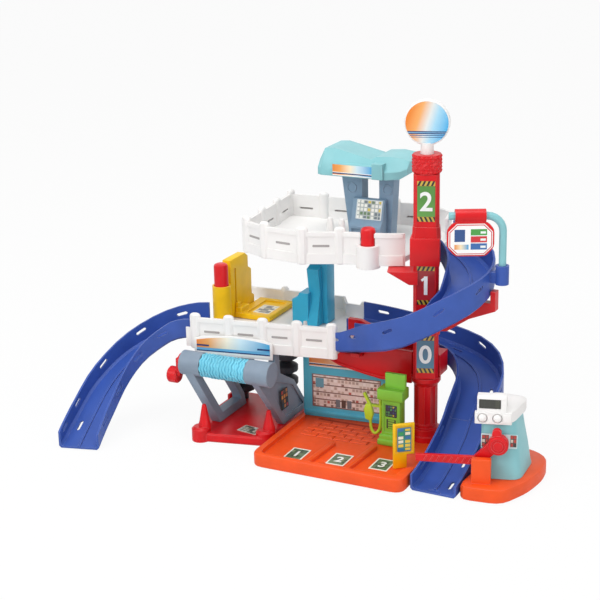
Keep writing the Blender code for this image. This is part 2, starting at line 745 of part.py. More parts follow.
def tower():
    """The foot with its fluted column, and the pole with its collars and the seat of deck 2."""
    top = FLANGE_Z + FLANGE_HEIGHT
    levels = [(BASE_FLOOR - 0.0026, FOOT_RADIUS, FOOT_RADIUS), (0.0195, FOOT_RADIUS, FOOT_RADIUS),
              (0.0205, FOOT_RADIUS - 0.0015, FOOT_RADIUS - 0.0015), (0.0290, FOOT_RADIUS - 0.0022, FOOT_RADIUS - 0.0022),
              (0.0305, COLUMN_RADIUS, COLUMN_RADIUS), (0.0345, COLUMN_RADIUS, COLUMN_RADIUS),
              (0.0360, COLUMN_RADIUS, COLUMN_RADIUS - 0.0016), (FLANGE_Z - 0.0065, COLUMN_RADIUS, COLUMN_RADIUS - 0.0016),
              (FLANGE_Z - 0.0050, COLUMN_RADIUS, COLUMN_RADIUS), (FLANGE_Z + 0.0005, FLANGE_RADIUS, FLANGE_RADIUS),
              (top, FLANGE_RADIUS, FLANGE_RADIUS)]
    rings = []
    for height, outer, inner in levels:
        rings.append([((outer if k % 2 else inner) * math.cos(math.radians(15.0 * k)),
                       (outer if k % 2 else inner) * math.sin(math.radians(15.0 * k)), height) for k in range(24)])
    foot = loft("tower_lower", rings)
    finish(foot, "tower_lower", RED)

    pole = plate("tower_pole", pole_outline(), FLANGE_Z + FLANGE_HEIGHT + GAP, POLE_TOP)
    joined = []
    for index, (low, high) in enumerate(((0.161, 0.180), (0.287, 0.303))):
        half = POLE_HALF_WIDTH
        wide = [(x * 1.12, y * 1.12) for x, y in pole_outline()]
        joined.append(loft(f"collar_{index}", [[(x, y, low) for x, y in wide],
                                               [(x * 0.94, y * 0.94, high) for x, y in wide]]))
    joined.append(block("deck_seat", (-0.0200, -0.0215, 0.2535), (0.0175, 0.003, 0.2890), 0.0008))
    joined.append(front_plate("deck_bracket", [(-0.049, DECK_2_UNDER - GAP), (-0.010, DECK_2_UNDER - GAP),
                                               (-0.010, 0.228), (-0.021, 0.228)], -0.019, 0.010))
    joined.append(rod("knob_spindle", (0.0, 0.0, POLE_TOP - 0.002), 0.006, 0.0145, sides=20))
    fuse(pole, *joined)
    for thing in [pole] + joined:
        turn_about(thing, TOWER_TURN)
    finish(pole, "tower_pole", RED)


def deck_arms():
    """The two red arms: one behind the shop wall that carries deck 1, one under the upper track."""
    shelf = DECK_1_FLOOR - DECK_PLATE - GAP
    low = FLANGE_Z + FLANGE_HEIGHT + GAP
    left = front_plate("left_arm", [(0.0040, low), (0.0040, 0.1290), (-0.0180, 0.1290), (-0.0200, shelf),
                                    (-0.1720, shelf), (-0.1680, 0.1120), (-0.1250, 0.0880), (-0.0750, 0.0780),
                                    (-0.0245, 0.0780), (-0.0245, low)], 0.0262, 0.0382)
    ridge = front_plate("left_arm_ridge", [(-0.0200, 0.1180), (-0.0200, 0.1285), (-0.0700, 0.1340), (-0.0860, 0.1440),
                                           (-0.1060, 0.1520), (ARM_TIP_X, 0.1525), (ARM_TIP_X, 0.1180)],
                        ARM_FRONT, ARM_BACK)
    root = block("left_arm_root", (-0.0215, 0.0020, low), (0.0185, 0.0300, 0.1290))
    shelf_front = block("left_arm_shelf", (-0.1000, -0.0150, DECK_1_UNDER), (-0.0880, 0.0280, shelf))
    fuse(left, ridge, root, shelf_front)
    hole = plate("pole_clearance_left", pole_outline(GAP), 0.05, 0.30)
    turn_about(hole, TOWER_TURN)
    carve(left, hole)
    finish(left, "left_arm", RED)

    floor = spiral_floor(-16.0) - SHEET - GAP
    outer = SPIRAL_RADIUS + TRACK_WIDTH / 2.0 + RUNNING_GAP
    right = front_plate("right_arm", [(0.010, 0.1640), (0.010, 0.2000), (0.028, floor), (outer, floor),
                                      (outer, floor + 0.0155), (0.0945, floor + 0.0155), (0.0945, floor - 0.010),
                                      (0.060, floor - 0.024), (0.030, 0.166)], -0.006, 0.006)
    hole = plate("pole_clearance_right", pole_outline(0.0022), 0.05, 0.30)
    turn_about(hole, TOWER_TURN)
    carve(right, hole)
    finish(right, "right_arm", RED)


def spiral_floor(angle):
    """Height of the upper track's floor where it winds round the tower, by angle in degrees."""
    stages = ((90.0, DECK_2_FLOOR - GAP), (-18.0, 0.2125), (-56.0, 0.1930), (-79.0, 0.1755))
    for (before, high), (after, low) in zip(stages, stages[1:]):
        if angle >= after:
            break
    return low + (high - low) * (angle - after) / (before - after)


def upper_track():
    """The upper track: from deck 2, round the tower, down to the front mouth of deck 1."""
    route = []
    for angle in (90, 66, 42, 18, -6, -30, -54, -76):
        turn = math.radians(angle)
        route.append((SPIRAL_RADIUS * math.cos(turn), SPIRAL_RADIUS * math.sin(turn), spiral_floor(angle)))
    end_x = DECK_1_FRONT_RIGHT[0] + GAP
    end_z = DECK_1_FLOOR + GAP
    route += [(-0.014, -0.0560, 0.1595), (-0.046, -0.0370, 0.1455), (-0.080, -0.0150, 0.1345),
              (end_x, MOUTH_FRONT_Y - 0.0030, end_z), (end_x - 0.034, MOUTH_FRONT_Y + 0.0080, end_z)]
    path = smooth_path(route, 2)
    slots = [(0.10, "left"), (0.24, "left"), (0.38, "left"), (0.52, "left"), (0.66, "left"), (0.80, "left"),
             (0.90, "left"), (0.30, "floor_left"), (0.55, "floor_left"), (0.86, "floor_right")]
    gutter = track("upper_track", path, slots,
                   (0.031, 0.031, 0.031, 0.032, 0.034, 0.037, 0.038, 0.038, 0.038, 0.034, 0.028, 0.0225, 0.0225),
                   (0.026, 0.028, 0.030, 0.030, 0.026, 0.016, 0.018, 0.022, 0.023, 0.023, 0.022, 0.020, 0.018))
    carve(gutter, block("deck_1_edge", (end_x - 0.10, -0.08, 0.08), (end_x, 0.08, 0.20)))
    cup = rod("post_cup", (POST_X, POST_Y, POST_FOOT - 0.0056), 0.0085, 0.0245, sides=20)
    web = block("post_cup_web", (0.0835, POST_Y - 0.004, POST_FOOT - 0.0046), (POST_X, POST_Y + 0.004, POST_FOOT + 0.0094))
    fuse(gutter, cup, web)
    carve(gutter, rod("post_cup_bore", (POST_X, POST_Y, POST_FOOT - GAP), POST_RADIUS + GAP, 0.04, sides=16))
    return finish(gutter, "upper_track", BLUE, 50.0)


def lower_track():
    """The lower track: from the back mouth of deck 1, behind the tower and round to the front."""
    start_x = MOUTH_BACK_X + GAP
    route = [(start_x, MOUTH_BACK_Y, DECK_1_FLOOR - GAP), (start_x + 0.030, MOUTH_BACK_Y, DECK_1_FLOOR - 0.002),
             (-0.060, MOUTH_BACK_Y + 0.001, 0.1225), (-0.030, CURVE_RADIUS + 0.001, 0.1170)]
    for angle, height in ((90, 0.1110), (64, 0.1035), (38, 0.0940), (14, 0.0800), (-6, 0.0670)):
        turn = math.radians(angle)
        route.append((CURVE_RADIUS * math.cos(turn), CURVE_RADIUS * math.sin(turn), height))
    route += [EXIT_TOP, EXIT_NEXT]
    path = smooth_path(route, 2)
    slots = [(0.10, "left"), (0.25, "left"), (0.38, "left"), (0.51, "left"), (0.64, "left"), (0.76, "left"),
             (0.87, "left"), (0.70, "floor_left"), (0.43, "floor_left")]
    gutter = track("lower_track", path, slots, (0.026, 0.026, 0.028, 0.024), (0.020, 0.020, 0.024, 0.024))
    carve(gutter, block("ramp_side_of_joint", (0.0, -0.30, 0.0), (0.30, EXIT_TOP[1], 0.30)))
    return finish(gutter, "lower_track", BLUE, 50.0)


def exit_ramp():
    """The ramp from the lower track down to the floor beside the gate."""
    route = [(EXIT_TOP[0], -0.0074, 0.0670), EXIT_TOP, EXIT_NEXT, (0.0670, -0.082, 0.0185), (0.0646, -0.112, 0.0065),
             EXIT_END]
    path = smooth_path(route, 3)
    slots = [(0.44, "right"), (0.76, "right"), (0.44, "left"), (0.56, "floor_left"), (0.82, "floor_left")]
    ramp = track("exit_ramp", path, slots, (0.024, 0.024, 0.020, 0.016, 0.013), (0.024, 0.024, 0.024, 0.022, 0.018))
    carve(ramp, block("track_side_of_joint", (0.0, EXIT_TOP[1] - GAP, 0.0), (0.30, 0.30, 0.30)))
    notch = rod("ramp_notch", (EXIT_END[0], EXIT_END[1] - 0.003, EXIT_END[2] - 0.0008), 0.0105, 0.02, sides=20)
    carve(ramp, notch)
    return finish(ramp, "exit_ramp", BLUE, 50.0)


def left_ramp():
    """The curved ramp from the left end of deck 1 down to the floor."""
    route = [(-0.2960, -0.0285, DECK_1_FLOOR - GAP), (-0.3320, -0.0300, 0.1275), (-0.3680, -0.0400, 0.1155),
             (-0.4010, -0.0680, 0.0920), (-0.4195, -0.1060, 0.0600), (-0.4235, -0.1480, 0.0265),
             (-0.4215, -0.1760, 0.0095), LEFT_END]
    path = smooth_path(route, 3)
    slots = [(0.22, "right"), (0.38, "right"), (0.54, "right"), (0.70, "right"), (0.86, "right"), (0.30, "left"),
             (0.46, "left"), (0.62, "left"), (0.78, "left"), (0.58, "floor_left"), (0.76, "floor_right")]
    gutter = track("left_ramp", path, slots, (0.024, 0.026, 0.026, 0.023, 0.019), (0.033, 0.031, 0.026, 0.024, 0.020),
                   LEFT_RAMP_WIDTH)
    corner, back = Vector(DECK_1_FRONT_LEFT), Vector(DECK_1_BACK_LEFT)
    edge = block("deck_1_left_edge", (-0.02, WALL_THICKNESS * 0.3 - GAP, 0.08), (0.22, 0.20, 0.20))
    run = corner - back
    place = Matrix.Translation((back.x, back.y, 0.0)) @ Matrix.Rotation(math.atan2(run.y, run.x), 4, "Z")
    carve(gutter, move_mesh(edge, place))
    return finish(gutter, "left_ramp", BLUE, 50.0)


def deck_1():
    """The lower white deck: a floor, a crenelled front wall, a low back wall and three track mouths."""
    under = DECK_1_UNDER
    back_wall = [DECK_1_BACK_RIGHT, DECK_1_BACK_NOOK, DECK_1_BACK_STEP, DECK_1_BACK_LEFT]
    inner_corner = (DECK_1_BACK_RIGHT[0], ARM_BACK + GAP)
    arm_corner = (DECK_1_FRONT_RIGHT[0], ARM_FRONT)
    outline = [DECK_1_FRONT_LEFT, DECK_1_FRONT_RIGHT, arm_corner, inner_corner] + back_wall
    outline = offset_line([outline[-1]] + outline + [outline[0]], WALL_THICKNESS * 0.3)[1:-1]
    floor = plate("deck_1", outline, DECK_1_FLOOR - DECK_PLATE, DECK_1_FLOOR)
    solids, cutters = wall_run("deck_1_front", [DECK_1_FRONT_LEFT, DECK_1_FRONT_RIGHT], (4,), under)
    side = Vector(DECK_1_FRONT_LEFT) - Vector(DECK_1_BACK_LEFT)
    gate = tuple(Vector(DECK_1_BACK_LEFT) + side.normalized() * 0.010)
    more_solids = [band("deck_1_back", back_wall + [gate], 0.0, WALL_THICKNESS, under, under + DECK_1_BACK_WALL)]
    middle = Vector(DECK_1_BACK_STEP).lerp(Vector(DECK_1_BACK_LEFT), 0.57)
    for index, (x, y) in enumerate((middle, (DECK_1_BACK_RIGHT[0] + 0.0005, DECK_1_BACK_RIGHT[1] + 0.0026))):
        top = under + DECK_1_BACK_WALL + 0.0045
        knob = turned(f"back_knob_{index}", [(0.0, top), (0.0038, top - 0.0010), (0.0060, top - 0.0040),
                                             (0.0064, top - 0.0080), (0.0064, under + 0.0010), (0.0, under + 0.0010)], 14)
        knob.location = (x - 0.0035, y + WALL_THICKNESS * 0.5, 0.0)
        more_solids.append(knob)
    wing = block("deck_1_wing", (-0.0075, 0.0005, under + 0.002), (0.0040, WALL_THICKNESS - 0.0007, under + 0.0285))
    front = Vector(DECK_1_FRONT_RIGHT) - Vector(DECK_1_FRONT_LEFT)
    place = Matrix.Translation((*DECK_1_FRONT_LEFT, 0.0)) @ Matrix.Rotation(math.atan2(front.y, front.x), 4, "Z")
    more_solids.append(move_mesh(wing, place))
    notch = block("arm_notch", (ARM_TIP_X - GAP, ARM_FRONT - GAP, under - 0.01), (0.0, ARM_BACK + GAP, under + 0.02))
    peg = turned("deck_1_peg", [(0.0, DECK_1_FLOOR + 0.016), (0.0025, DECK_1_FLOOR + 0.015),
                                (0.0042, DECK_1_FLOOR - 0.002), (0.0, DECK_1_FLOOR - 0.002)], 12)
    peg.location = (-0.183, 0.020, 0.0)
    fuse(floor, *solids, *more_solids, peg)
    carve(floor, *cutters, notch)
    return finish(floor, "deck_1", WHITE)


def deck_2():
    """The upper white deck, with the housing of the red button in its front edge."""
    under = DECK_2_UNDER
    corner, beside, inside, tower_side = (-0.0050, 0.0895), (-0.0050, 0.0245), (-0.0275, 0.0245), (-0.0290, -0.0005)
    low_wall = [DECK_2_FRONT_RIGHT, (-0.052, -0.011), tower_side]
    run = [corner, (-0.013, 0.126), DECK_2_BACK_RIGHT, DECK_2_BACK_LEFT, DECK_2_LEFT, DECK_2_FRONT_LEFT, DECK_2_FRONT]
    run += low_wall
    outline = offset_line(run, WALL_THICKNESS * 0.3) + [inside, beside]
    floor = plate("deck_2", outline, DECK_2_FLOOR - DECK_PLATE, DECK_2_FLOOR)
    solids, cutters = wall_run("deck_2_wall", run, (1, 1, 4, 3, 1, 1, 1, 1, 1), under, plain=(0, 1, 7, 8))
    housing = rod("button_housing", (BUTTON_X, BUTTON_Y, under - 0.003), BUTTON_HOUSING_RADIUS,
                  BUTTON_HOUSING_TOP - under + 0.003, sides=32)
    pegs = []
    for index, x in enumerate((-0.139, -0.1225)):
        pegs.append(turned(f"deck_2_peg_{index}", [(0.0, DECK_2_FLOOR + 0.040), (0.0030, DECK_2_FLOOR + 0.0385),
                                                   (0.0042, DECK_2_FLOOR + 0.034), (0.0075, DECK_2_FLOOR - 0.002),
                                                   (0.0, DECK_2_FLOOR - 0.002)], 14))
        pegs[-1].location = (x, 0.010, 0.0)
    fuse(floor, *solids, housing, *pegs)
    carve(floor, *cutters,
          rod("button_bore", (BUTTON_X, BUTTON_Y, under + 0.003), BUTTON_RADIUS + RUNNING_GAP, 0.05, sides=28))
    return finish(floor, "deck_2", WHITE)


def pillar():
    """The teal pillar between the decks, with its steps, its slanted fin and its arm."""
    low, high = DECK_1_FLOOR + GAP, DECK_2_UNDER + 0.005 - GAP
    body = block("deck_pillar", (-0.192, 0.060, low), (-0.168, 0.084, high), 0.0008)
    steps = front_plate("pillar_steps", [(-0.214, low), (-0.190, low), (-0.190, low + 0.046), (-0.203, low + 0.046),
                                         (-0.206, low + 0.040), (-0.214, low + 0.036)], 0.044, 0.070)
    fin = side_plate("pillar_fin", [(0.042, low), (0.066, low), (0.066, low + 0.086), (0.048, low + 0.080),
                                    (0.054, low + 0.045)], -0.193, -0.176)
    arm = front_plate("pillar_arm", [(-0.252, high), (-0.180, high), (-0.180, high - 0.020), (-0.205, high - 0.020),
                                     (-0.208, high - 0.010), (-0.250, high - 0.006)], 0.0600, 0.0800)
    fuse(body, steps, fin, arm)
    return finish(body, "deck_pillar", TEAL)


def wash_legs():
    """The two slanted side walls of the wash, each with the bearing end of the roller."""
    foot = BASE_FLOOR + GAP
    shelf = DECK_1_UNDER - GAP
    left_outline = [(-0.062, foot), (0.014, foot), (0.014, 0.030), (-0.004, 0.066), (-0.046, 0.094),
                    (-0.046, shelf), (-0.060, shelf), (-0.0635, 0.106), (-0.075, 0.106), (-0.103, 0.097)]
    window = [(-0.051, 0.024), (0.003, 0.024), (0.003, 0.030), (-0.011, 0.058), (-0.050, 0.083), (-0.084, 0.090)]
    left = side_plate("wash_leg_left", left_outline, LEG_LEFT_X - LEG_LEFT_THICKNESS, LEG_LEFT_X, 0.0008)
    opening = side_plate("wash_window", window, LEG_LEFT_X - 0.04, LEG_LEFT_X + 0.02)
    lean(left, LEG_LEFT_LEAN, foot)
    lean(opening, LEG_LEFT_LEAN, foot)
    fuse(left, rod("cap_left", (CAP_LEFT, ROLLER_Y, ROLLER_Z), CAP_RADIUS, ROLLER_LEFT - 0.0006 - CAP_LEFT, "X", 28))
    carve(left, opening,
          rod("axle_hole_left", (CAP_LEFT - 0.01, ROLLER_Y, ROLLER_Z), AXLE_RADIUS + RUNNING_GAP, 0.06, "X", 20))
    finish(left, "wash_leg_left", GREY)

    right_outline = [(-0.036, foot), (0.036, foot), (0.036, 0.021), (0.004, 0.064), (-0.034, 0.086),
                     (-0.034, shelf), (-0.045, shelf), (-0.0475, 0.106), (-0.075, 0.106), (-0.103, 0.097)]
    panel = [(-0.028, 0.022), (0.027, 0.022), (-0.001, 0.058), (-0.048, 0.079), (-0.070, 0.076)]
    right = side_plate("wash_leg_right", right_outline, LEG_RIGHT_X - LEG_RIGHT_THICKNESS, LEG_RIGHT_X, 0.0008)
    recess = side_plate("wash_panel", panel, LEG_RIGHT_X - 0.002, LEG_RIGHT_X + 0.01)
    lean(right, LEG_RIGHT_LEAN, foot)
    lean(recess, LEG_RIGHT_LEAN, foot)
    fuse(right, rod("cap_right", (ROLLER_RIGHT + 0.0006, ROLLER_Y, ROLLER_Z), CAP_RADIUS,
                    CAP_RIGHT - ROLLER_RIGHT - 0.0006, "X", 28))
    carve(right, recess,
          rod("axle_hole_right", (ROLLER_RIGHT - 0.01, ROLLER_Y, ROLLER_Z), AXLE_RADIUS + RUNNING_GAP, 0.028, "X", 20))
    finish(right, "wash_leg_right", GREY)


def wash_roller():
    """The washing roller with its long axle, and the red crank on the axle's end."""
    axis = (0.0, ROLLER_Y, ROLLER_Z)
    rings, ribs = [], 7
    length = ROLLER_RIGHT - ROLLER_LEFT
    for i in range(2 * ribs + 1):
        radius = ROLLER_RADIUS if i % 2 else ROLLER_RADIUS - 0.0009
        x = ROLLER_LEFT + length * i / (2 * ribs)
        rings.append([(x, ROLLER_Y + radius * math.cos(math.radians(22.5 * k)),
                       ROLLER_Z + radius * math.sin(math.radians(22.5 * k))) for k in range(16)])
    roller = loft("wash_roller", rings)
    axle = rod("roller_axle", (CAP_LEFT - 0.0080, ROLLER_Y, ROLLER_Z), AXLE_RADIUS,
               ROLLER_RIGHT + 0.014 - CAP_LEFT + 0.0080, "X", 20)
    fuse(roller, axle)
    finish(roller, "wash_roller", SKY, origin=(ROLLER_LEFT, ROLLER_Y, ROLLER_Z))

    face = CAP_LEFT - 0.0006
    disc = rod("wash_crank", (face - 0.0040, ROLLER_Y, ROLLER_Z), CRANK_RADIUS, 0.0040, "X", 20)
    arm = block("crank_arm", (face - 0.0095, ROLLER_Y - 0.006, ROLLER_Z - CRANK_THROW), (face - 0.0036, ROLLER_Y + 0.006,
                                                                                       ROLLER_Z + 0.006), 0.0015)
    knob = rod("crank_knob", (face - 0.0225, ROLLER_Y, ROLLER_Z - CRANK_THROW), CRANK_KNOB_RADIUS, 0.0150, "X", 16)
    round_edges(knob, 0.0018, 1, 60.0)
    fuse(disc, arm, knob)
    carve(disc, rod("crank_bore", (CAP_LEFT - 0.0083, ROLLER_Y, ROLLER_Z), AXLE_RADIUS + GAP, 0.02, "X", 20))
    finish(disc, "wash_crank", RED, origin=(face, ROLLER_Y, ROLLER_Z))
    return axis


def wash_brushes():
    """Two upright brushes on pins, each a stack of bristle discs round a core."""
    low = BASE_FLOOR + RUNNING_GAP
    high = DECK_1_UNDER - RUNNING_GAP + 0.004
    for name, x in (("left", BRUSH_LEFT_X), ("right", BRUSH_RIGHT_X)):
        profile = [(0.0, high), (BRUSH_CORE, high)]
        pitch = (high - low - 0.012) / BRUSH_DISCS
        for i in range(BRUSH_DISCS):
            top = high - 0.004 - pitch * i
            profile += [(BRUSH_CORE, top), (BRUSH_RADIUS, top - pitch * 0.3), (BRUSH_RADIUS, top - pitch * 0.7)]
        profile += [(BRUSH_CORE, low + 0.0085), (BRUSH_CORE, low), (0.003, low), (0.003, low - 0.005), (0.0, low - 0.005)]
        brush = turned(f"brush_{name}", profile, 12)
        brush.location = (x, BRUSH_Y, 0.0)
        finish(brush, f"brush_{name}", DARK)


def wash_sign():
    """The bare sign plate that hangs in front of the deck over the roller."""
    run = Vector(DECK_1_FRONT_RIGHT) - Vector(DECK_1_FRONT_LEFT)
    angle = math.atan2(run.y, run.x)
    outline = [(0.006, -0.011), (0.116, -0.011), (0.116, 0.012), (0.104, 0.016), (0.061, 0.0185), (0.018, 0.016),
               (0.006, 0.012)]
    sign = front_plate("wash_sign", outline, -0.0057, -0.0031, 0.0006)
    place = Matrix.Translation((DECK_1_FRONT_LEFT[0], DECK_1_FRONT_LEFT[1], DECK_1_UNDER + 0.004))
    move_mesh(sign, place @ Matrix.Rotation(angle, 4, "Z"))
    return finish(sign, "wash_sign", WHITE)


def shop_wall():
    """The teal back wall of the parking floor, with a recessed panel."""
    low, high = BASE_FLOOR + GAP, DECK_1_UNDER - GAP
    length = 0.121
    wall = block("shop_wall", (0.0, 0.0, low), (length, 0.006, high), 0.0008)
    recess = block("shop_recess", (0.012, -0.002, low + 0.014), (length - 0.010, 0.0016, low + 0.062), 0.0)
    strip = block("shop_strip", (0.008, -0.002, low + 0.072), (length - 0.006, 0.0010, low + 0.089), 0.0)
    sill = block("shop_sill", (0.003, -0.0022, low + 0.0045), (length - 0.003, 0.002, low + 0.0085), 0.0006)
    fuse(wall, sill)
    carve(wall, recess, strip)
    for thing in (wall, recess, strip, sill):
        turn_about(thing, math.radians(5.0))
        move_mesh(thing, Matrix.Translation((PARKING_LEFT + 0.0015, 0.0075, 0.0)))
    return finish(wall, "shop_wall", TEAL)


def fuel_pump():
    """The green pump, with its stepped foot, its head and the nozzle on its hose."""
    x, y = -0.0315, -0.0360
    foot = BASE_FLOOR + GAP
    body = block("fuel_pump", (x - 0.0130, y - 0.0080, foot), (x + 0.0130, y + 0.0100, 0.078), 0.0012)
    plinth = block("pump_plinth", (x - 0.0175, y - 0.0125, foot), (x + 0.0150, y + 0.0130, 0.0205), 0.0014)
    step = block("pump_step", (x - 0.0155, y - 0.0105, 0.019), (x + 0.0140, y + 0.0115, 0.0265), 0.0010)
    head = block("pump_head", (x - 0.0180, y - 0.0115, 0.0755), (x + 0.0180, y + 0.0120, 0.0905), 0.0016)
    board = block("pump_board", (x - 0.0105, y - 0.0020, 0.089), (x + 0.0180, y + 0.0040, 0.1105), 0.0014)
    fuse(body, plinth, step, head, board)
    carve(body, block("pump_panel", (x - 0.0095, y - 0.012, 0.030), (x + 0.0100, y - 0.0068, 0.0700)),
          block("pump_nozzle_hole", (x - 0.0160, y - 0.0030, 0.0600), (x - 0.0080, y + 0.0030, 0.0640)))
    finish(body, "fuel_pump", GREEN)

    side = x - 0.0130 - GAP
    loop = [(side - 0.0040, y - 0.001, 0.0750), (side - 0.0034, y - 0.001, 0.0500), (side - 0.0055, y - 0.001, 0.0330),
            (side - 0.0120, y - 0.001, 0.0270), (side - 0.0170, y - 0.001, 0.0330), (side - 0.0180, y - 0.001, 0.0440)]
    hose = tube("pump_nozzle", smooth_path([(a, b, c - 0.0035) for a, b, c in loop], 3), 0.0020, 2)
    grip = front_plate("nozzle_grip", [(side - 0.0245, 0.0430), (side - 0.0165, 0.0400), (side - 0.0135, 0.0500),
                                       (side - 0.0160, 0.0640), (side - 0.0235, 0.0640), (side - 0.0265, 0.0560)],
                       y - 0.0040, y + 0.0020, 0.0006)
    spout = front_plate("nozzle_spout", [(side - 0.0200, 0.0620), (side - 0.0160, 0.0620), (side - 0.0250, 0.0790),
                                         (side - 0.0280, 0.0775)], y - 0.0030, y + 0.0010)
    hook = block("nozzle_hook", (side - 0.0200, y - 0.0022, 0.0606), (side + 0.0045, y + 0.0022, 0.0634))
    fuse(hose, grip, spout, hook)
    return finish(hose, "pump_nozzle", LIME)


def price_board():
    """The yellow board beside the pump, on its own foot."""
    low = BASE_FLOOR + GAP
    board = front_plate("price_board", [(0.0, low), (0.0175, low), (0.0175, 0.0310), (0.0275, 0.0310),
                                        (0.0275, 0.0725), (0.0, 0.0725)], 0.0, 0.0040, 0.0006)
    recess = block("price_recess", (0.0030, -0.002, 0.0340), (0.0250, 0.0010, 0.0695))
    carve(board, recess)
    for thing in (board, recess):
        turn_about(thing, math.radians(38.0))
        move_mesh(thing, Matrix.Translation((0.0005, -0.1120, 0.0)))
    return finish(board, "price_board", YELLOW)


def blended(first, second, share):
    """An outline part of the way from one outline to another."""
    return [tuple(Vector(a).lerp(Vector(b), share)) for a, b in zip(first, second)]


def shrunk(outline, share):
    """The same outline drawn in towards its middle."""
    middle = sum((Vector(place) for place in outline), Vector((0.0, 0.0))) / len(outline)
    return [tuple(middle + (Vector(place) - middle) * share) for place in outline]


def booth():
    """The gate booth: a tapered body, a cap with a screen hood, a screen and two buttons."""
    low, high = BASE_HEIGHT + GAP, BOOTH_TOP
    foot, neck = soften(BOOTH_FOOT, BOOTH_CORNER, 3), soften(BOOTH_NECK, BOOTH_CORNER, 3)
    rings = []
    for height, share in ((low, 0.0), (low + 0.004, 0.1), (low + 0.030, 0.42), (high - 0.020, 0.74), (high, 1.0)):
        rings.append([(x, y, height) for x, y in blended(foot, neck, share)])
    body = loft("booth_body", rings)
    body.modifiers.new("facets", "TRIANGULATE")
    pivot = Vector(GATE_PIVOT)
    boss = rod("gate_boss", (0.0, HUB_DEPTH / 2.0 + 0.0006, 0.0), 0.0062, 0.020, "Y", 20)
    pin = rod("gate_pin", (0.0, -HUB_DEPTH / 2.0 + 0.0014, 0.0), 0.0030, 0.030, "Y", 16)
    place = Matrix.Translation(pivot) @ Matrix.Rotation(GATE_TURN, 4, "Z")
    for thing in (boss, pin):
        move_mesh(thing, place)
    fuse(body, boss, pin)
    finish(body, "booth_body", PALE_TEAL)

    cap_outline = soften(BOOTH_CAP, BOOTH_CORNER, 3)
    cap = loft("booth_cap", [[(x, y, height) for x, y in shrunk(cap_outline, share)]
                             for height, share in ((high + GAP, 0.985), (high + 0.0015, 1.0), (BOOTH_CAP_EDGE, 0.99),
                                                   (BOOTH_CAP_EDGE + 0.0014, 0.94), (BOOTH_CAP_EDGE + 0.0040, 0.72),
                                                   (BOOTH_CAP_EDGE + 0.0050, 0.45))])
    front = BOOTH_PANEL_FRONT
    panel = block("cap_panel", (0.0735, front, high - 0.0008), (0.1185, front + 0.0064, BOOTH_CAP_EDGE + 0.0008), 0.0010)
    shoulder = block("cap_shoulder", (0.1073, front - 0.0010, high + 0.0015),
                     (0.1180, front + 0.0030, BOOTH_CAP_EDGE - 0.0012), 0.0006)
    hood = side_plate("screen_hood", [(front + 0.0004, high + 0.0110), (front + 0.0018, SCREEN_TOP + 0.0001),
                                      (front + 0.0038, BOOTH_TIP_Z), (front + 0.0150, BOOTH_TIP_Z),
                                      (front + 0.0270, BOOTH_CAP_EDGE + 0.0045), (front + 0.0270, high + 0.0085)],
                      0.0761, 0.1120, 0.0012)
    cutters = [block("screen_recess", (SCREEN_LEFT, front - 0.01, SCREEN_LOW),
                     (SCREEN_RIGHT, front + 0.0038, SCREEN_TOP))]
    for index, x in enumerate(BOOTH_BUTTONS):
        cutters.append(rod(f"booth_button_bore_{index}", (x, front - 0.01, BOOTH_BUTTON_Z), 0.0052 + RUNNING_GAP, 0.0175,
                           "Y", 20))
    screen = block("booth_screen", (SCREEN_LEFT + GAP, front + 0.0022, SCREEN_LOW + GAP),
                   (SCREEN_RIGHT - GAP, front + 0.0034, SCREEN_TOP - GAP))
    for thing in [panel, shoulder, hood, screen] + cutters:
        turn_about(thing, GATE_TURN)
    fuse(cap, panel, shoulder, hood)
    carve(cap, *cutters)
    finish(cap, "booth_cap", WHITE)
    finish(screen, "booth_screen", DARK)
    for side, x in zip(("left", "right"), BOOTH_BUTTONS):
        rings = []
        for radius, proud in ((0.0012, 0.0040), (0.0031, 0.0033), (0.0045, 0.0020), (0.0052, 0.0), (0.0052, -0.0026)):
            rings.append([(x + radius * math.cos(math.radians(22.5 * k)), front - proud,
                           BOOTH_BUTTON_Z + radius * math.sin(math.radians(22.5 * k))) for k in range(16)])
        button = turn_about(loft(f"button_{side}", rings), GATE_TURN)
        centre = Matrix.Rotation(GATE_TURN, 3, "Z") @ Vector((x, front, BOOTH_BUTTON_Z))
        finish(button, f"booth_button_{side}", WHITE, origin=tuple(centre))


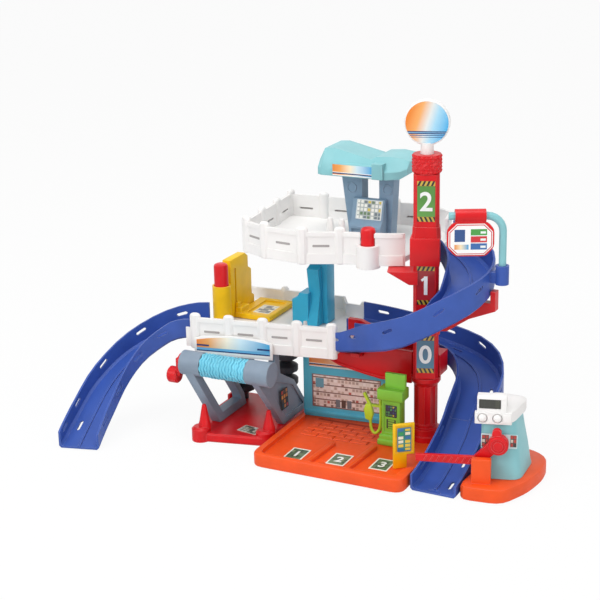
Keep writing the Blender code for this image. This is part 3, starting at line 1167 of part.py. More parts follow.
def gate_arm():
    """The red gate arm: a hub on the booth's pin, a cranked neck and a ribbed bar."""
    half = HUB_DEPTH / 2.0
    hub = rod("gate_arm", (0.0, -half, 0.0), HUB_RADIUS, HUB_DEPTH, "Y", 28)
    bar_top, bar_low = -GATE_DROP + 0.0055, -GATE_DROP - 0.0055
    bar = front_plate("gate_bar", [(-0.018, bar_top), (-0.018, bar_low), (-GATE_LENGTH, bar_low + 0.001),
                                   (-GATE_LENGTH, bar_top - 0.001)], -0.0028, 0.0028, 0.0006)
    neck = front_plate("gate_neck", [(-0.003, -0.010), (0.004, -0.004), (-0.008, 0.006), (-0.030, bar_top - 0.0005),
                                     (-0.030, bar_low + 0.0005), (-0.020, bar_low + 0.0005)], -0.0032, 0.0032)
    knob = rod("gate_knob", (-0.002, -half + 0.0006, 0.0145), 0.0058, HUB_DEPTH - 0.0012, "Y", 16)
    fuse(hub, bar, neck, knob)
    ribs = []
    for i in range(8):
        x = -0.034 - 0.0078 * i
        rib = block(f"gate_rib_{i}", (x - 0.0009, -0.0040, bar_low + 0.0016), (x + 0.0009, -0.0020, bar_top - 0.0016))
        turn_about(rib, math.radians(28.0), (x, 0.0, -GATE_DROP), "Y")
        ribs.append(rib)
    fuse(hub, *ribs)
    bore = rod("gate_bore", (0.0, -half + 0.0008, 0.0), 0.0030 + RUNNING_GAP, 0.02, "Y", 16)
    carve(hub, bore)
    place = Matrix.Rotation(GATE_TURN, 4, "Z")
    for thing in [hub, bar, neck, knob, bore] + ribs:
        move_mesh(thing, Matrix.Translation(GATE_PIVOT) @ place)
    return finish(hub, "gate_arm", RED, origin=None)


def lift():
    """The yellow lift: a slotted frame, a platform, and the tube with the red plunger."""
    floor = DECK_1_FLOOR + GAP
    left, right = LIFT_LEFT - 0.0135, LIFT_LEFT - 0.0008
    slot_front, slot_back = LIFT_FRONT + 0.0040, LIFT_FRONT + 0.0085
    outline = [(0.0300, floor), (0.0980, floor), (0.0980, 0.146), (0.0910, 0.150), (0.0910, 0.187), (0.0820, 0.192),
               (0.0820, 0.208), (0.0740, LIFT_FRAME_TOP), (0.0300, LIFT_FRAME_TOP)]
    frame = side_plate("lift_frame", outline, left, right, 0.0010)
    carve(frame, block("lift_slot", (left + 0.004, slot_front, 0.1385), (right + 0.01, slot_back, 0.2000)))
    finish(frame, "lift_frame", YELLOW)

    low = floor + 0.0002
    platform = block("lift_platform", (LIFT_LEFT, LIFT_FRONT, low), (LIFT_RIGHT, LIFT_BACK, low + 0.0072), 0.0010)
    shoulder = block("platform_shoulder", (LIFT_LEFT, LIFT_FRONT + 0.001, low + 0.004),
                     (LIFT_LEFT + 0.010, LIFT_FRONT + 0.026, low + 0.0145), 0.0014)
    tongue = block("platform_tongue", (left + 0.0060, slot_front + RUNNING_GAP, low + 0.0125),
                   (LIFT_LEFT + 0.004, slot_back - RUNNING_GAP, low + 0.0200))
    post = block("platform_post", (LIFT_LEFT + 0.0002, slot_front - 0.001, low + 0.004),
                 (LIFT_LEFT + 0.0050, slot_back + 0.001, low + 0.0212), 0.0006)
    fuse(platform, shoulder, post, tongue)
    carve(platform, block("platform_recess", (LIFT_LEFT + 0.014, LIFT_FRONT + 0.008, low + 0.0052),
                          (LIFT_RIGHT - 0.007, LIFT_BACK - 0.010, low + 0.02)))
    finish(platform, "lift_platform", YELLOW)

    barrel = rod("plunger_tube", (TUBE_X, TUBE_Y, floor), TUBE_RADIUS, TUBE_TOP - floor, sides=28)
    carve(barrel, rod("tube_bore", (TUBE_X, TUBE_Y, floor + 0.003), PLUNGER_RADIUS + RUNNING_GAP, 0.1, sides=24))
    finish(barrel, "plunger_tube", YELLOW)
    travel_room = 0.0012
    low = floor + 0.003 + LIFT_TRAVEL + travel_room
    plunger = turned("lift_plunger", [(0.0, PLUNGER_TOP), (PLUNGER_RADIUS - 0.0030, PLUNGER_TOP),
                                      (PLUNGER_RADIUS - 0.0008, PLUNGER_TOP - 0.0012),
                                      (PLUNGER_RADIUS, PLUNGER_TOP - 0.0035), (PLUNGER_RADIUS, low), (0.0, low)], 24)
    plunger.location = (TUBE_X, TUBE_Y, 0.0)
    finish(plunger, "lift_plunger", RED)


def cabin():
    """The control cabin on deck 2: two tapered columns, a console and a folded roof."""
    low = DECK_2_FLOOR + GAP
    top = CABIN_TOP - GAP
    columns = []
    for name, inner, outer, slope in (("left", -0.1200, CABIN_LEFT, -CABIN_LEFT_LEAN),
                                      ("right", -0.0955, CABIN_RIGHT, CABIN_RIGHT_LEAN)):
        rings = []
        for height, out in ((low, outer), (top, outer + slope)):
            near, far = sorted((out, inner))
            rings.append([(near, CABIN_FRONT, height), (far, CABIN_FRONT, height),
                          (far, CABIN_BACK, height), (near, CABIN_BACK, height)])
        columns.append(loft(f"cabin_column_{name}", rings))
    frame = block("cabin_frame", (CABIN_LEFT + 0.004, CABIN_FRONT + 0.004, low),
                  (CABIN_RIGHT - 0.004, CABIN_BACK - 0.002, low + 0.046))
    fuse(frame, *columns)
    for name, x, height in (("left", -0.1353, 0.3230), ("right", -0.0835, 0.3240)):
        hoop = rod(f"cabin_ring_{name}", (x, CABIN_FRONT - 0.0010, height), 0.0072, 0.003, "Y", 20)
        hole = rod(f"cabin_ring_hole_{name}", (x, CABIN_FRONT - 0.0030, height), 0.0058, 0.0032, "Y", 20)
        fuse(frame, hoop)
        carve(frame, hole)
    finish(frame, "cabin_frame", CABIN_GREY)

    console = side_plate("cabin_console", [(0.0480, low), (CABIN_FRONT - GAP, low), (CABIN_FRONT - GAP, low + 0.054),
                                           (0.0640, low + 0.054), (0.0560, low + 0.026), (0.0480, low + 0.020)],
                         -0.1296, -0.0842, 0.0008)
    carve(console, block("console_recess", (-0.1256, 0.0400, low + 0.0070), (-0.0882, 0.0505, low + 0.0160)))
    finish(console, "cabin_console", CABIN_GREY)

    eave = CABIN_TOP
    sections = [(-0.1745, eave, eave + 0.0190, 0.0580, 0.1100, 0.0500, 0.1160),
                (-0.1680, eave, eave + 0.0335, 0.0600, 0.1120, 0.0460, 0.1200),
                (-0.1550, eave, eave + 0.0345, 0.0615, 0.1120, 0.0460, 0.1200),
                (-0.1025, eave, eave + 0.0225, 0.0615, 0.1120, 0.0460, 0.1200),
                (-0.0947, eave, eave + 0.0268, 0.0610, 0.1120, 0.0460, 0.1200),
                (-0.0747, eave, eave + 0.0285, 0.0600, 0.1120, 0.0460, 0.1200),
                (-0.0570, eave + 0.0020, eave + 0.0268, 0.0610, 0.1100, 0.0490, 0.1180),
                (-0.0490, eave + 0.0070, eave + 0.0230, 0.0650, 0.1060, 0.0560, 0.1120)]
    rings = []
    for x, bottom, peak, top_front, top_back, front, back in sections:
        fold = bottom + min(0.010, (peak - bottom) / 2.0)
        rings.append([(x, front, bottom), (x, front, fold), (x, top_front, peak), (x, top_back, peak), (x, back, fold),
                      (x, back, bottom)])
    roof = loft("cabin_roof", rings)
    roof.modifiers.new("facets", "TRIANGULATE")
    rib = block("roof_rib", (-0.0938, 0.0425, eave + 0.0004), (-0.0785, 0.0600, eave + 0.0210))
    fascia = block("roof_fascia", (-0.1510, 0.0440, eave + 0.0015), (-0.0932, 0.0580, eave + 0.0166))
    fuse(roof, rib, fascia)
    finish(roof, "cabin_roof", PALE_TEAL)


def buttons_and_signs():
    """The red button on deck 2, the turning sign on the tower and the swinging parking sign."""
    low = DECK_2_UNDER + 0.003 + BUTTON_TRAVEL + 0.0012
    button = turned("deck_button", [(0.0, BUTTON_TOP), (BUTTON_RADIUS - 0.0030, BUTTON_TOP - 0.0004),
                                    (BUTTON_RADIUS - 0.0008, BUTTON_TOP - 0.0020),
                                    (BUTTON_RADIUS, BUTTON_TOP - 0.0045), (BUTTON_RADIUS, low), (0.0, low)], 24)
    button.location = (BUTTON_X, BUTTON_Y, 0.0)
    finish(button, "deck_button", RED)

    low = POLE_TOP + 0.0006
    rings, steps = [], 6
    for i in range(steps + 1):
        ring = []
        for k in range(20):
            angle = math.radians(18.0 * k)
            bump = 0.0011 if (i + k) % 2 and 0 < i < steps else 0.0
            radius = KNOB_RADIUS - 0.0008 + bump
            ring.append((radius * math.cos(angle), radius * math.sin(angle), low + KNOB_HEIGHT * i / steps))
        rings.append(ring)
    knob = loft("sign_knob", rings)
    carve(knob, rod("knob_bore", (0.0, 0.0, low - 0.01), 0.006 + RUNNING_GAP, 0.0245, sides=20),
          rod("neck_socket", (0.0, 0.0, low + KNOB_HEIGHT - 0.005), 0.0090, 0.02, sides=20))
    finish(knob, "sign_knob", RED)

    seat = low + KNOB_HEIGHT - 0.005 + GAP
    half = SIGN_DISC_DEPTH / 2.0
    disc = rod("round_sign", (0.0, -half, SIGN_CENTRE_Z), SIGN_DISC_RADIUS, SIGN_DISC_DEPTH, "Y", 32)
    round_edges(disc, 0.0012, 1, 60.0)
    neck = rod("sign_neck", (0.0, 0.0, seat), 0.0086, SIGN_CENTRE_Z - SIGN_DISC_RADIUS + 0.004 - seat, sides=20,
               top_radius=0.0078)
    face = rod("sign_face_recess", (0.0, -half - 0.01, SIGN_CENTRE_Z), SIGN_DISC_RADIUS - 0.003, 0.0106, "Y", 32)
    fuse(disc, neck)
    carve(disc, face)
    for thing in (disc, neck, face):
        turn_about(thing, math.radians(16.0))
    finish(disc, "round_sign", WHITE)

    along_bar = Vector((-math.cos(SIGN_TURN), -math.sin(SIGN_TURN), 0.0))
    corner = Vector((POST_X, POST_Y, SIGN_BAR_Z))
    bend = 0.020
    route = [Vector((POST_X, POST_Y, height)) for height in (POST_FOOT, POST_FOOT + 0.030, SIGN_BAR_Z - bend)]
    for i in range(1, 7):
        angle = math.radians(15.0 * i)
        route.append(corner + along_bar * bend * (1 - math.cos(angle)) + Vector((0, 0, -bend * (1 - math.sin(angle)))))
    route.append(corner + along_bar * SIGN_BAR_LENGTH)
    finish(tube("sign_post", [tuple(place) for place in route], POST_RADIUS, 3), "sign_post", PALE_TEAL, 50.0)

    sleeve = rod("parking_sign", (-0.0190, 0.0, 0.0), 0.0086, 0.0380, "X", 24)
    plate_low, plate_high = -0.0500, -0.0065
    octagon = soften([(-0.0190, plate_low), (0.0190, plate_low), (0.0292, plate_low + 0.0115),
                      (0.0292, plate_high - 0.0095), (0.0210, plate_high), (-0.0210, plate_high),
                      (-0.0292, plate_high - 0.0095), (-0.0292, plate_low + 0.0115)], 0.004, 2)
    panel = front_plate("sign_panel", octagon, -0.0068, -0.0032, 0.0006)
    bridge = block("sign_bridge", (-0.0170, -0.0066, -0.0120), (0.0170, -0.0030, 0.0010))
    bore = rod("sleeve_bore", (-0.03, 0.0, 0.0), POST_RADIUS + RUNNING_GAP, 0.06, "X", 20)
    fuse(sleeve, panel, bridge)
    carve(sleeve, bore)
    middle = corner + along_bar * SIGN_PLACE
    place = Matrix.Translation(middle) @ Matrix.Rotation(SIGN_TURN, 4, "Z")
    for thing in (sleeve, panel, bridge, bore):
        move_mesh(thing, place)
    finish(sleeve, "parking_sign", RED)


def main():
    start_scene()
    parking_base()
    wash_base()
    booth_base()
    tower()
    deck_arms()
    deck_1()
    deck_2()
    pillar()
    upper_track()
    lower_track()
    exit_ramp()
    left_ramp()
    wash_legs()
    wash_roller()
    wash_brushes()
    wash_sign()
    shop_wall()
    fuel_pump()
    price_board()
    booth()
    gate_arm()
    lift()
    cabin()
    buttons_and_signs()


main()
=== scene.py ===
"""Toy garage: looks of the moulded pieces, their printed labels, and a plain studio stage."""
import json
import math

import bpy
from bpy.props import FloatProperty, FloatVectorProperty, IntProperty, PointerProperty
from mathutils import Matrix, Vector

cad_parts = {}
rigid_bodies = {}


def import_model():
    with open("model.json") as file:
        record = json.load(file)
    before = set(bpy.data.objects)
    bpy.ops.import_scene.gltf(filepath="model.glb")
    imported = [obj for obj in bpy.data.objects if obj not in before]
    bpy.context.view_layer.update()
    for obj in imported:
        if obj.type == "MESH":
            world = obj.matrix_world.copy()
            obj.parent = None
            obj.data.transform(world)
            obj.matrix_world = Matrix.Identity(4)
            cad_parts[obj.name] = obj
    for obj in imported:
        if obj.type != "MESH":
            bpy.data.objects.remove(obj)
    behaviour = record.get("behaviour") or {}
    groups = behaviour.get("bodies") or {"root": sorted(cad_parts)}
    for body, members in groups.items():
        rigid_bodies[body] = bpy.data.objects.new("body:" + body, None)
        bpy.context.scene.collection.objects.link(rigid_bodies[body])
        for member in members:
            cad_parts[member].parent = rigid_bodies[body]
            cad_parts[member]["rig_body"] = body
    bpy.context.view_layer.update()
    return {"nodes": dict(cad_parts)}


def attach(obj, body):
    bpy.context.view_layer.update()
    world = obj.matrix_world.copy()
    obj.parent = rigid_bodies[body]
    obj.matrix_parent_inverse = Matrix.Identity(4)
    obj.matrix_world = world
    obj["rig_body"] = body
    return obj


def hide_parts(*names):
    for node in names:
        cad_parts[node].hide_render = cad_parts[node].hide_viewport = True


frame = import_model()

bl_info = {
    "name": "Toy Garage Looks",
    "version": (1, 0, 0),
    "blender": (4, 5, 0),
    "location": "3D View > Sidebar > Toy Garage",
    "description": "Finishes, labels and stage of a toy garage with car tracks",
    "category": "Object",
}

QUARTER = math.radians(90.0)
TOWER_TURN = math.radians(18.0)
BOOTH_TURN = math.radians(15.0)
SHOP_TURN = math.radians(5.0)
SIGN_TURN = math.radians(25.0)
ROUND_SIGN_TURN = math.radians(16.0)
SHEET = 0.0003                          # thickness of a printed label with its laminate
LABEL_BACK = -0.01615                   # plane of the tower labels' backs, from the tower's axis
FIGURE_BACK = -0.01655                  # the same for the numbers on them
GATE_AXLE = (0.1345, -0.1035, 0.0655)
SIGN_HINGE = (0.064295, -0.018116, 0.3245)
ROUND_SIGN = (0.0, -0.0056, 0.4335)     # back of the round sign's print, in the sign's own turn
ROLLER_AXIS = (-0.088, 0.104)           # y and z of the wash roller's axis
ROLLER_ENDS = (-0.2795, -0.2160)        # x of the first and of the last ribbon
LOWEST_STUDS = 0.3733                   # height of the knob's lowest row of studs
WASH_SIGN = (-0.312, -0.066, 0.121)
SHOP_WALL = (-0.1815, 0.0075, 0.0)
PUMP_FACE = (-0.03125, -0.0426)         # x and y of the pump's panels
FIRST_BRICK = (-0.1460, -0.0500)        # x and y of the first brick's middle
BRICK_LEVEL = 0.0122                    # middle of the bricks' thickness, and underside of the dark sheet under them, painted shade in the joints
STICKER_LEVEL = 0.01245
BAY_NUMBER_LEVEL = 0.01290
CAMERA_PLACE = (0.6634, -1.7152, 0.7925)
CAMERA_TURN = (26.1953, 17.747, -1.2073)    # azimuth, height and roll in degrees
FOCAL_PIXELS = 1501.5                   # focal length in pixels of the photo
PHOTO_PIXELS = 600.0
SENSOR = 36.0                           # millimetres

# Each deck wall with posts: the deck's underside, the points of the wall's front line, the number of bays
# between each two points, and how far the end posts are drawn in.
DECK_WALLS = (
    (0.117, ((-0.312, -0.066), (-0.113, -0.034)), (4,), 0.0059),
    (0.245, ((-0.050, 0.152), (-0.262, 0.140), (-0.250, -0.018), (-0.214, -0.035), (-0.155, -0.042),
             (-0.110, -0.024)), (4, 3, 1, 1, 1), 0.0),
)

# Each plastic: its key, its surface, its roughness, the strength of its grain, and how dark its flow gets.
PLASTICS = (
    ("red", "gloss", 0.30, 0.03, 0.84), ("orange", "satin", 0.38, 0.05, 0.88),
    ("blue", "satin", 0.36, 0.04, 0.86), ("white", "satin", 0.40, 0.03, 0.96),
    ("yellow", "gloss", 0.32, 0.03, 0.86), ("teal", "gloss", 0.30, 0.03, 0.88),
    ("pale_teal", "satin", 0.36, 0.03, 0.93), ("grey", "satin", 0.42, 0.06, 0.86),
    ("blue_grey", "satin", 0.38, 0.04, 0.88), ("sky_blue", "gloss", 0.28, 0.03, 0.86),
    ("green", "gloss", 0.32, 0.03, 0.88), ("lime", "gloss", 0.32, 0.03, 0.88),
    ("dark", "matt", 0.50, 0.08, 0.80),
)


# Small helpers

def linear(code):
    """An sRGB hex colour as linear RGB."""
    parts = [int(code[i:i + 2], 16) / 255.0 for i in (1, 3, 5)]
    return tuple(((part + 0.055) / 1.055) ** 2.4 if part > 0.04045 else part / 12.92 for part in parts)


def colour(name, note, code):
    """A colour property with an sRGB hex default."""
    return FloatVectorProperty(name=name, description=note, subtype="COLOR", size=3, min=0.0, max=1.0,
                               default=linear(code))


def length(name, note, default, low, high):
    """A length property in metres."""
    return FloatProperty(name=name, description=note, default=default, min=low, max=high, unit="LENGTH")


def power(name, note, default):
    """A lamp's power property."""
    return FloatProperty(name=name, description=note, default=default, min=0.0, subtype="POWER", unit="POWER")


def add(tree, kind, inputs=None, **settings):
    """Adds a node, sets its settings, and sets or links its inputs; a text input is an sRGB hex colour."""
    node = tree.nodes.new(kind)
    for key, value in settings.items():
        setattr(node, key, value)
    for key, value in (inputs or {}).items():
        if isinstance(value, bpy.types.NodeSocket):
            tree.links.new(value, node.inputs[key])
        elif isinstance(value, str):
            node.inputs[key].default_value = linear(value) + (1.0,)
        else:
            node.inputs[key].default_value = value
    return node


def empty_tree(owner):
    """Turns on the nodes of a material or a world and clears them."""
    owner.use_nodes = True
    owner.node_tree.nodes.clear()
    return owner.node_tree


def new_material(name):
    """An empty node material with its Principled shader and output."""
    material = bpy.data.materials.new(name)
    tree = empty_tree(material)
    shader = add(tree, "ShaderNodeBsdfPrincipled")
    add(tree, "ShaderNodeOutputMaterial", {"Surface": shader.outputs[0]})
    return material, tree, shader


def edit_all():
    """Enters edit mode with everything selected."""
    bpy.ops.object.mode_set(mode="EDIT")
    bpy.ops.mesh.select_all(action="SELECT")


def leave_edit():
    """Goes back to object mode."""
    bpy.ops.object.mode_set(mode="OBJECT")


def start():
    """Leaves edit mode and deselects everything."""
    if bpy.context.object is not None and bpy.context.object.mode != "OBJECT":
        leave_edit()
    bpy.ops.object.select_all(action="DESELECT")


def only(piece):
    """Selects one piece alone and makes it active."""
    start()
    piece.select_set(True)
    bpy.context.view_layer.objects.active = piece


def applied():
    """Applies the transform of the active piece and returns the piece."""
    bpy.ops.object.transform_apply(location=True, rotation=True, scale=True)
    return bpy.context.object


def complete(piece, name, slot, body="frame", place=None, look=None):
    """Names a piece, bakes its transform and place into its mesh, and gives it its look and body.

    The look is the finish of the slot itself, unless another is given.
    """
    piece.name = piece.data.name = name
    piece.data.transform(piece.matrix_basis)
    piece.matrix_basis = Matrix.Identity(4)
    if place is not None:
        piece.data.transform(place)
    piece.data.materials.clear()
    piece.data.materials.append(look or look_of(slot))
    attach(piece, body)


def at(x, y, z):
    """A move to a place."""
    return Matrix.Translation((x, y, z))


def turned(angle, axis="Z"):
    """A turn about an axis through the origin."""
    return Matrix.Rotation(angle, 4, axis)


def frame_at(origin, turn=0.0, tilt=0.0):
    """A local frame: X along, -Y out of the face, Z up; turned about Z and tilted about its own X."""
    return at(*origin) @ turned(turn) @ turned(tilt, "X")


def lying(origin, turn=0.0):
    """A local frame for a label that lies flat with its face up."""
    return frame_at(origin, turn, -QUARTER)


# Finishes

def moulded_plastic(name, tint, roughness, grain, deep):
    """Injection moulded ABS: an even pigment with faint cloudy flow, a fine tool grain, and dull scuffs.

    The eye gets clean colour, soft broad highlights, and a painted highlight: a thin bright line mixed into
    the colour along the edges.
    """
    material, tree, shader = new_material(name)
    place = add(tree, "ShaderNodeTexCoord").outputs["Object"]
    flow = add(tree, "ShaderNodeTexNoise", {"Vector": place, "Scale": 28.0, "Detail": 3.0, "Roughness": 0.55})
    share = add(tree, "ShaderNodeMapRange", {"Value": flow.outputs["Fac"], "From Min": 0.35, "From Max": 0.7})
    dark = tuple(part * deep for part in tint) + (1.0,)
    body = add(tree, "ShaderNodeMix", {"Factor": share.outputs[0], "A": dark, "B": tuple(tint) + (1.0,)},
               data_type="RGBA")
    # painted highlight: where the bevelled normal bends away from the flat one, the colour is mixed towards a
    # lighter tint, a thin bright line along every edge
    soft = add(tree, "ShaderNodeBevel", {"Radius": 0.0007}, samples=6)
    flat = add(tree, "ShaderNodeNewGeometry").outputs["Normal"]
    bend = add(tree, "ShaderNodeVectorMath", {0: soft.outputs[0], 1: flat}, operation="DOT_PRODUCT")
    edge = add(tree, "ShaderNodeMapRange", {"Value": bend.outputs["Value"], "From Min": 0.99,
                                            "From Max": 0.80, "To Min": 0.0, "To Max": 0.38})
    light = tuple(0.55 * part + 0.45 for part in tint) + (1.0,)
    edge_highlight = add(tree, "ShaderNodeMix", {"Factor": edge.outputs[0], "A": body.outputs["Result"], "B": light},
               data_type="RGBA")
    tree.links.new(edge_highlight.outputs["Result"], shader.inputs["Base Color"])
    scuff = add(tree, "ShaderNodeTexNoise",
                {"Vector": place, "Scale": 160.0, "Detail": 6.0, "Roughness": 0.7})
    dull = add(tree, "ShaderNodeMapRange", {"Value": scuff.outputs["Fac"], "From Min": 0.4, "From Max": 0.75,
                                            "To Min": roughness, "To Max": roughness + 0.10})
    tree.links.new(dull.outputs[0], shader.inputs["Roughness"])
    tool = add(tree, "ShaderNodeTexNoise", {"Vector": place, "Scale": 900.0, "Detail": 2.0})
    bump = add(tree, "ShaderNodeBump", {"Height": tool.outputs["Fac"], "Strength": grain, "Distance": 0.0003,
                                        "Normal": soft.outputs[0]})
    tree.links.new(bump.outputs[0], shader.inputs["Normal"])
    shader.inputs["Specular IOR Level"].default_value = 0.32
    return material


def printed_base(name):
    """Vinyl label under a clear gloss laminate: flat inks, a smooth bright sheen over all of them.

    Returns the material, its tree, the socket for the inks, and the print's coordinates across and up.
    """
    material, tree, shader = new_material(name)
    shader.inputs["Roughness"].default_value = 0.34
    shader.inputs["Coat Weight"].default_value = 0.5
    shader.inputs["Coat Roughness"].default_value = 0.08
    split = add(tree, "ShaderNodeSeparateXYZ", {"Vector": add(tree, "ShaderNodeUVMap").outputs[0]})
    place = add(tree, "ShaderNodeTexCoord").outputs["Object"]
    ripple = add(tree, "ShaderNodeTexNoise", {"Vector": place, "Scale": 240.0, "Detail": 1.0})
    bump = add(tree, "ShaderNodeBump",
               {"Height": ripple.outputs["Fac"], "Strength": 0.04, "Distance": 0.0002})
    tree.links.new(bump.outputs[0], shader.inputs["Normal"])
    return material, tree, shader.inputs["Base Color"], split.outputs["X"], split.outputs["Y"]


def calc(tree, kind, first, second=0.0):
    """One sum on node values."""
    return add(tree, "ShaderNodeMath", {0: first, 1: second}, operation=kind).outputs[0]


def inside(tree, value, low, high):
    """A mask that is 1 where the value lies between two limits."""
    over = calc(tree, "GREATER_THAN", value, low)
    return calc(tree, "MULTIPLY", over, calc(tree, "LESS_THAN", value, high))


def rectangle(tree, across, up, left, right, low, high):
    """A mask that is 1 in a rectangle of the print."""
    return calc(tree, "MULTIPLY", inside(tree, across, left, right), inside(tree, up, low, high))


def stepped(tree, value, count):
    """The way through each of the equal steps that a coordinate is cut into, from 0 to 1."""
    return calc(tree, "FRACT", calc(tree, "MULTIPLY", value, count))


def overprint(tree, ground, *layers):
    """Prints inks one over another; each layer is an ink and the mask that it is printed through."""
    for over, mask in layers:
        mix = add(tree, "ShaderNodeMix", {"Factor": mask, "A": ground, "B": over}, data_type="RGBA")
        ground = mix.outputs["Result"]
    return ground


def ramp(tree, value, stops, kind="LINEAR"):
    """Inks along one coordinate."""
    node = add(tree, "ShaderNodeValToRGB", {"Fac": value})
    node.color_ramp.interpolation = kind
    while len(node.color_ramp.elements) < len(stops):
        node.color_ramp.elements.new(0.5)
    for element, (position, code) in zip(node.color_ramp.elements, stops):
        element.position = position
        element.color = linear(code) + (1.0,)
    return node.outputs["Color"]


def tiles(tree, across, up, columns, rows, gap, stops, seed):
    """A panel of small printed boxes: returns the ink of each box and a mask that is 1 on the boxes."""
    column = calc(tree, "FLOOR", calc(tree, "MULTIPLY", across, columns))
    row = calc(tree, "FLOOR", calc(tree, "MULTIPLY", up, rows))
    cell = add(tree, "ShaderNodeCombineXYZ", {"X": column, "Y": row, "Z": seed})
    chance = add(tree, "ShaderNodeTexWhiteNoise", {"Vector": cell.outputs[0]}, noise_dimensions="3D")
    places = stepped(tree, across, columns), stepped(tree, up, rows)
    boxes = rectangle(tree, *places, gap, 1.0 - gap, gap, 1.0 - gap)
    return ramp(tree, chance.outputs["Value"], stops, "CONSTANT"), boxes


def banner_print(name):
    """A banner: orange fading through cream to sky blue, a dark blue bar and two white lines at its foot."""
    material, tree, face, across, up = printed_base(name)
    fade = ramp(tree, across, [(0.0, "#E8862B"), (0.2, "#F0A44E"), (0.45, "#F8E9C8"), (0.62, "#CFE9F4"),
                               (1.0, "#2FA3DC")])
    inks = overprint(tree, fade, ("#1C2F66", inside(tree, up, 0.16, 0.27)),
                     ("#F6F6F4", inside(tree, up, 0.27, 0.33)), ("#F6F6F4", inside(tree, up, 0.0, 0.08)))
    tree.links.new(inks, face)
    return material


def wash_print(name):
    """The banner over the wash: a like fade, with dark bars at both sides and a white lower edge."""
    material, tree, face, across, up = printed_base(name)
    fade = ramp(tree, across, [(0.0, "#E9832A"), (0.16, "#EFA558"), (0.42, "#FBF1DC"), (0.6, "#D8EEF7"),
                               (1.0, "#38A9DE")])
    sides = calc(tree, "SUBTRACT", 1.0, inside(tree, across, 0.17, 0.83))
    bars = calc(tree, "MULTIPLY", sides, inside(tree, up, 0.42, 0.52))
    inks = overprint(tree, fade, ("#20346E", bars), ("#6FB7E2", inside(tree, up, 0.20, 0.34)),
                     ("#20346E", inside(tree, up, 0.13, 0.20)), ("#F7F6F2", inside(tree, up, 0.0, 0.13)))
    tree.links.new(inks, face)
    return material


def field_print(name, code, lower=None):
    """One printed field, which may have another tone at its foot."""
    material, tree, face, across, up = printed_base(name)
    tree.links.new(ramp(tree, up, [(0.0, lower or code), (0.6, code)]), face)
    return material


def hazard_print(name, slope):
    """Black and yellow warning stripes, four to a label's width, leaning with the slope's sign."""
    material, tree, face, across, up = printed_base(name)
    lean = calc(tree, "MULTIPLY", up, slope)
    lane = calc(tree, "FRACT", calc(tree, "ADD", calc(tree, "MULTIPLY", across, 4.0), lean))
    tree.links.new(overprint(tree, "#1B1A18", ("#C9A93A", calc(tree, "GREATER_THAN", lane, 0.5))), face)
    return material


def panel_print(name, ground, stops, columns, rows, seed, gap, edge, rim):
    """A panel of plain coloured boxes on a ground, inside a rim of the edge's colour."""
    material, tree, face, across, up = printed_base(f"{name}_print_on_vinyl")
    middle = rectangle(tree, across, up, rim, 1.0 - rim, rim, 1.0 - rim)
    panel = overprint(tree, ground, tiles(tree, across, up, columns, rows, gap, stops, seed))
    tree.links.new(overprint(tree, edge, (panel, middle)), face)
    return material


def parking_print(name):
    """The swinging sign's print: a blue block, coloured bars at the right, and a fading strip at the foot."""
    material, tree, face, across, up = printed_base(name)
    bars = ramp(tree, up, [(0.0, "#2C64A8"), (0.385, "#D0202A"), (0.64, "#3F9B3C")], "CONSTANT")
    right = rectangle(tree, across, up, 0.50, 0.90, 0.12, 0.89)
    rows = stepped(tree, calc(tree, "SUBTRACT", up, 0.12), 3.9)
    whole = calc(tree, "MULTIPLY", right, inside(tree, rows, 0.06, 0.94))
    pale = calc(tree, "MULTIPLY", rectangle(tree, across, rows, 0.74, 0.87, 0.3, 0.62), right)
    fade = ramp(tree, across, [(0.10, "#E98B2B"), (0.26, "#F6E3BC"), (0.44, "#3E9ED2")])
    inks = overprint(tree, "#F7F7F5", (bars, whole), ("#E9F0EC", pale),
                     ("#1F4A86", rectangle(tree, across, up, 0.10, 0.36, 0.42, 0.86)),
                     (fade, rectangle(tree, across, up, 0.10, 0.45, 0.14, 0.32)))
    tree.links.new(inks, face)
    return material


def round_print(name):
    """The round sign's print: orange to sky blue across the disc, with dark blue bands low down."""
    material, tree, face, across, up = printed_base(name)
    slant = calc(tree, "ADD", calc(tree, "MULTIPLY", across, 0.8), calc(tree, "MULTIPLY", up, -0.25))
    fade = ramp(tree, calc(tree, "ADD", slant, 0.15), [
        (0.05, "#EE8420"), (0.25, "#F3AC62"), (0.44, "#E3E6E4"), (0.58, "#A6D8F0"), (0.85, "#35A9E2")])
    inks = overprint(tree, fade, ("#1D3F77", inside(tree, up, 0.235, 0.305)),
                     ("#8FC7E6", inside(tree, up, 0.262, 0.276)), ("#24548F", inside(tree, up, 0.195, 0.215)),
                     ("#24548F", inside(tree, up, 0.155, 0.17)))
    tree.links.new(inks, face)
    return material


def shelf_print(name):
    """The shop picture: a pale wall of shelves, with dark shelf lines, small wares and tall dark boxes."""
    material, tree, face, across, up = printed_base(name)
    wares = tiles(tree, across, up, 19.0, 9.0, 0.14, [
        (0.0, "#C9BCAE"), (0.22, "#E9E4DC"), (0.46, "#8E7A70"), (0.56, "#F2EFEA"), (0.78, "#B5A79B"),
        (0.95, "#B86A5E")], 3.0)
    tall, places = tiles(tree, across, up, 12.0, 3.2, 0.12, [(0.0, "#51463F"), (0.5, "#6A7C84")], 8.0)
    band = rectangle(tree, across, up, 0.33, 0.58, 0.02, 0.31)
    picture = overprint(tree, "#E8E2DA", wares, ("#6E5348", inside(tree, stepped(tree, up, 4.5), 0.0, 0.14)),
                        (tall, calc(tree, "MULTIPLY", band, places)),
                        ("#5FA3B8", rectangle(tree, across, up, 0.05, 0.17, 0.60, 0.88)))
    middle = rectangle(tree, across, up, 0.015, 0.985, 0.03, 0.97)
    tree.links.new(overprint(tree, "#8B5F58", (picture, middle)), face)
    return material


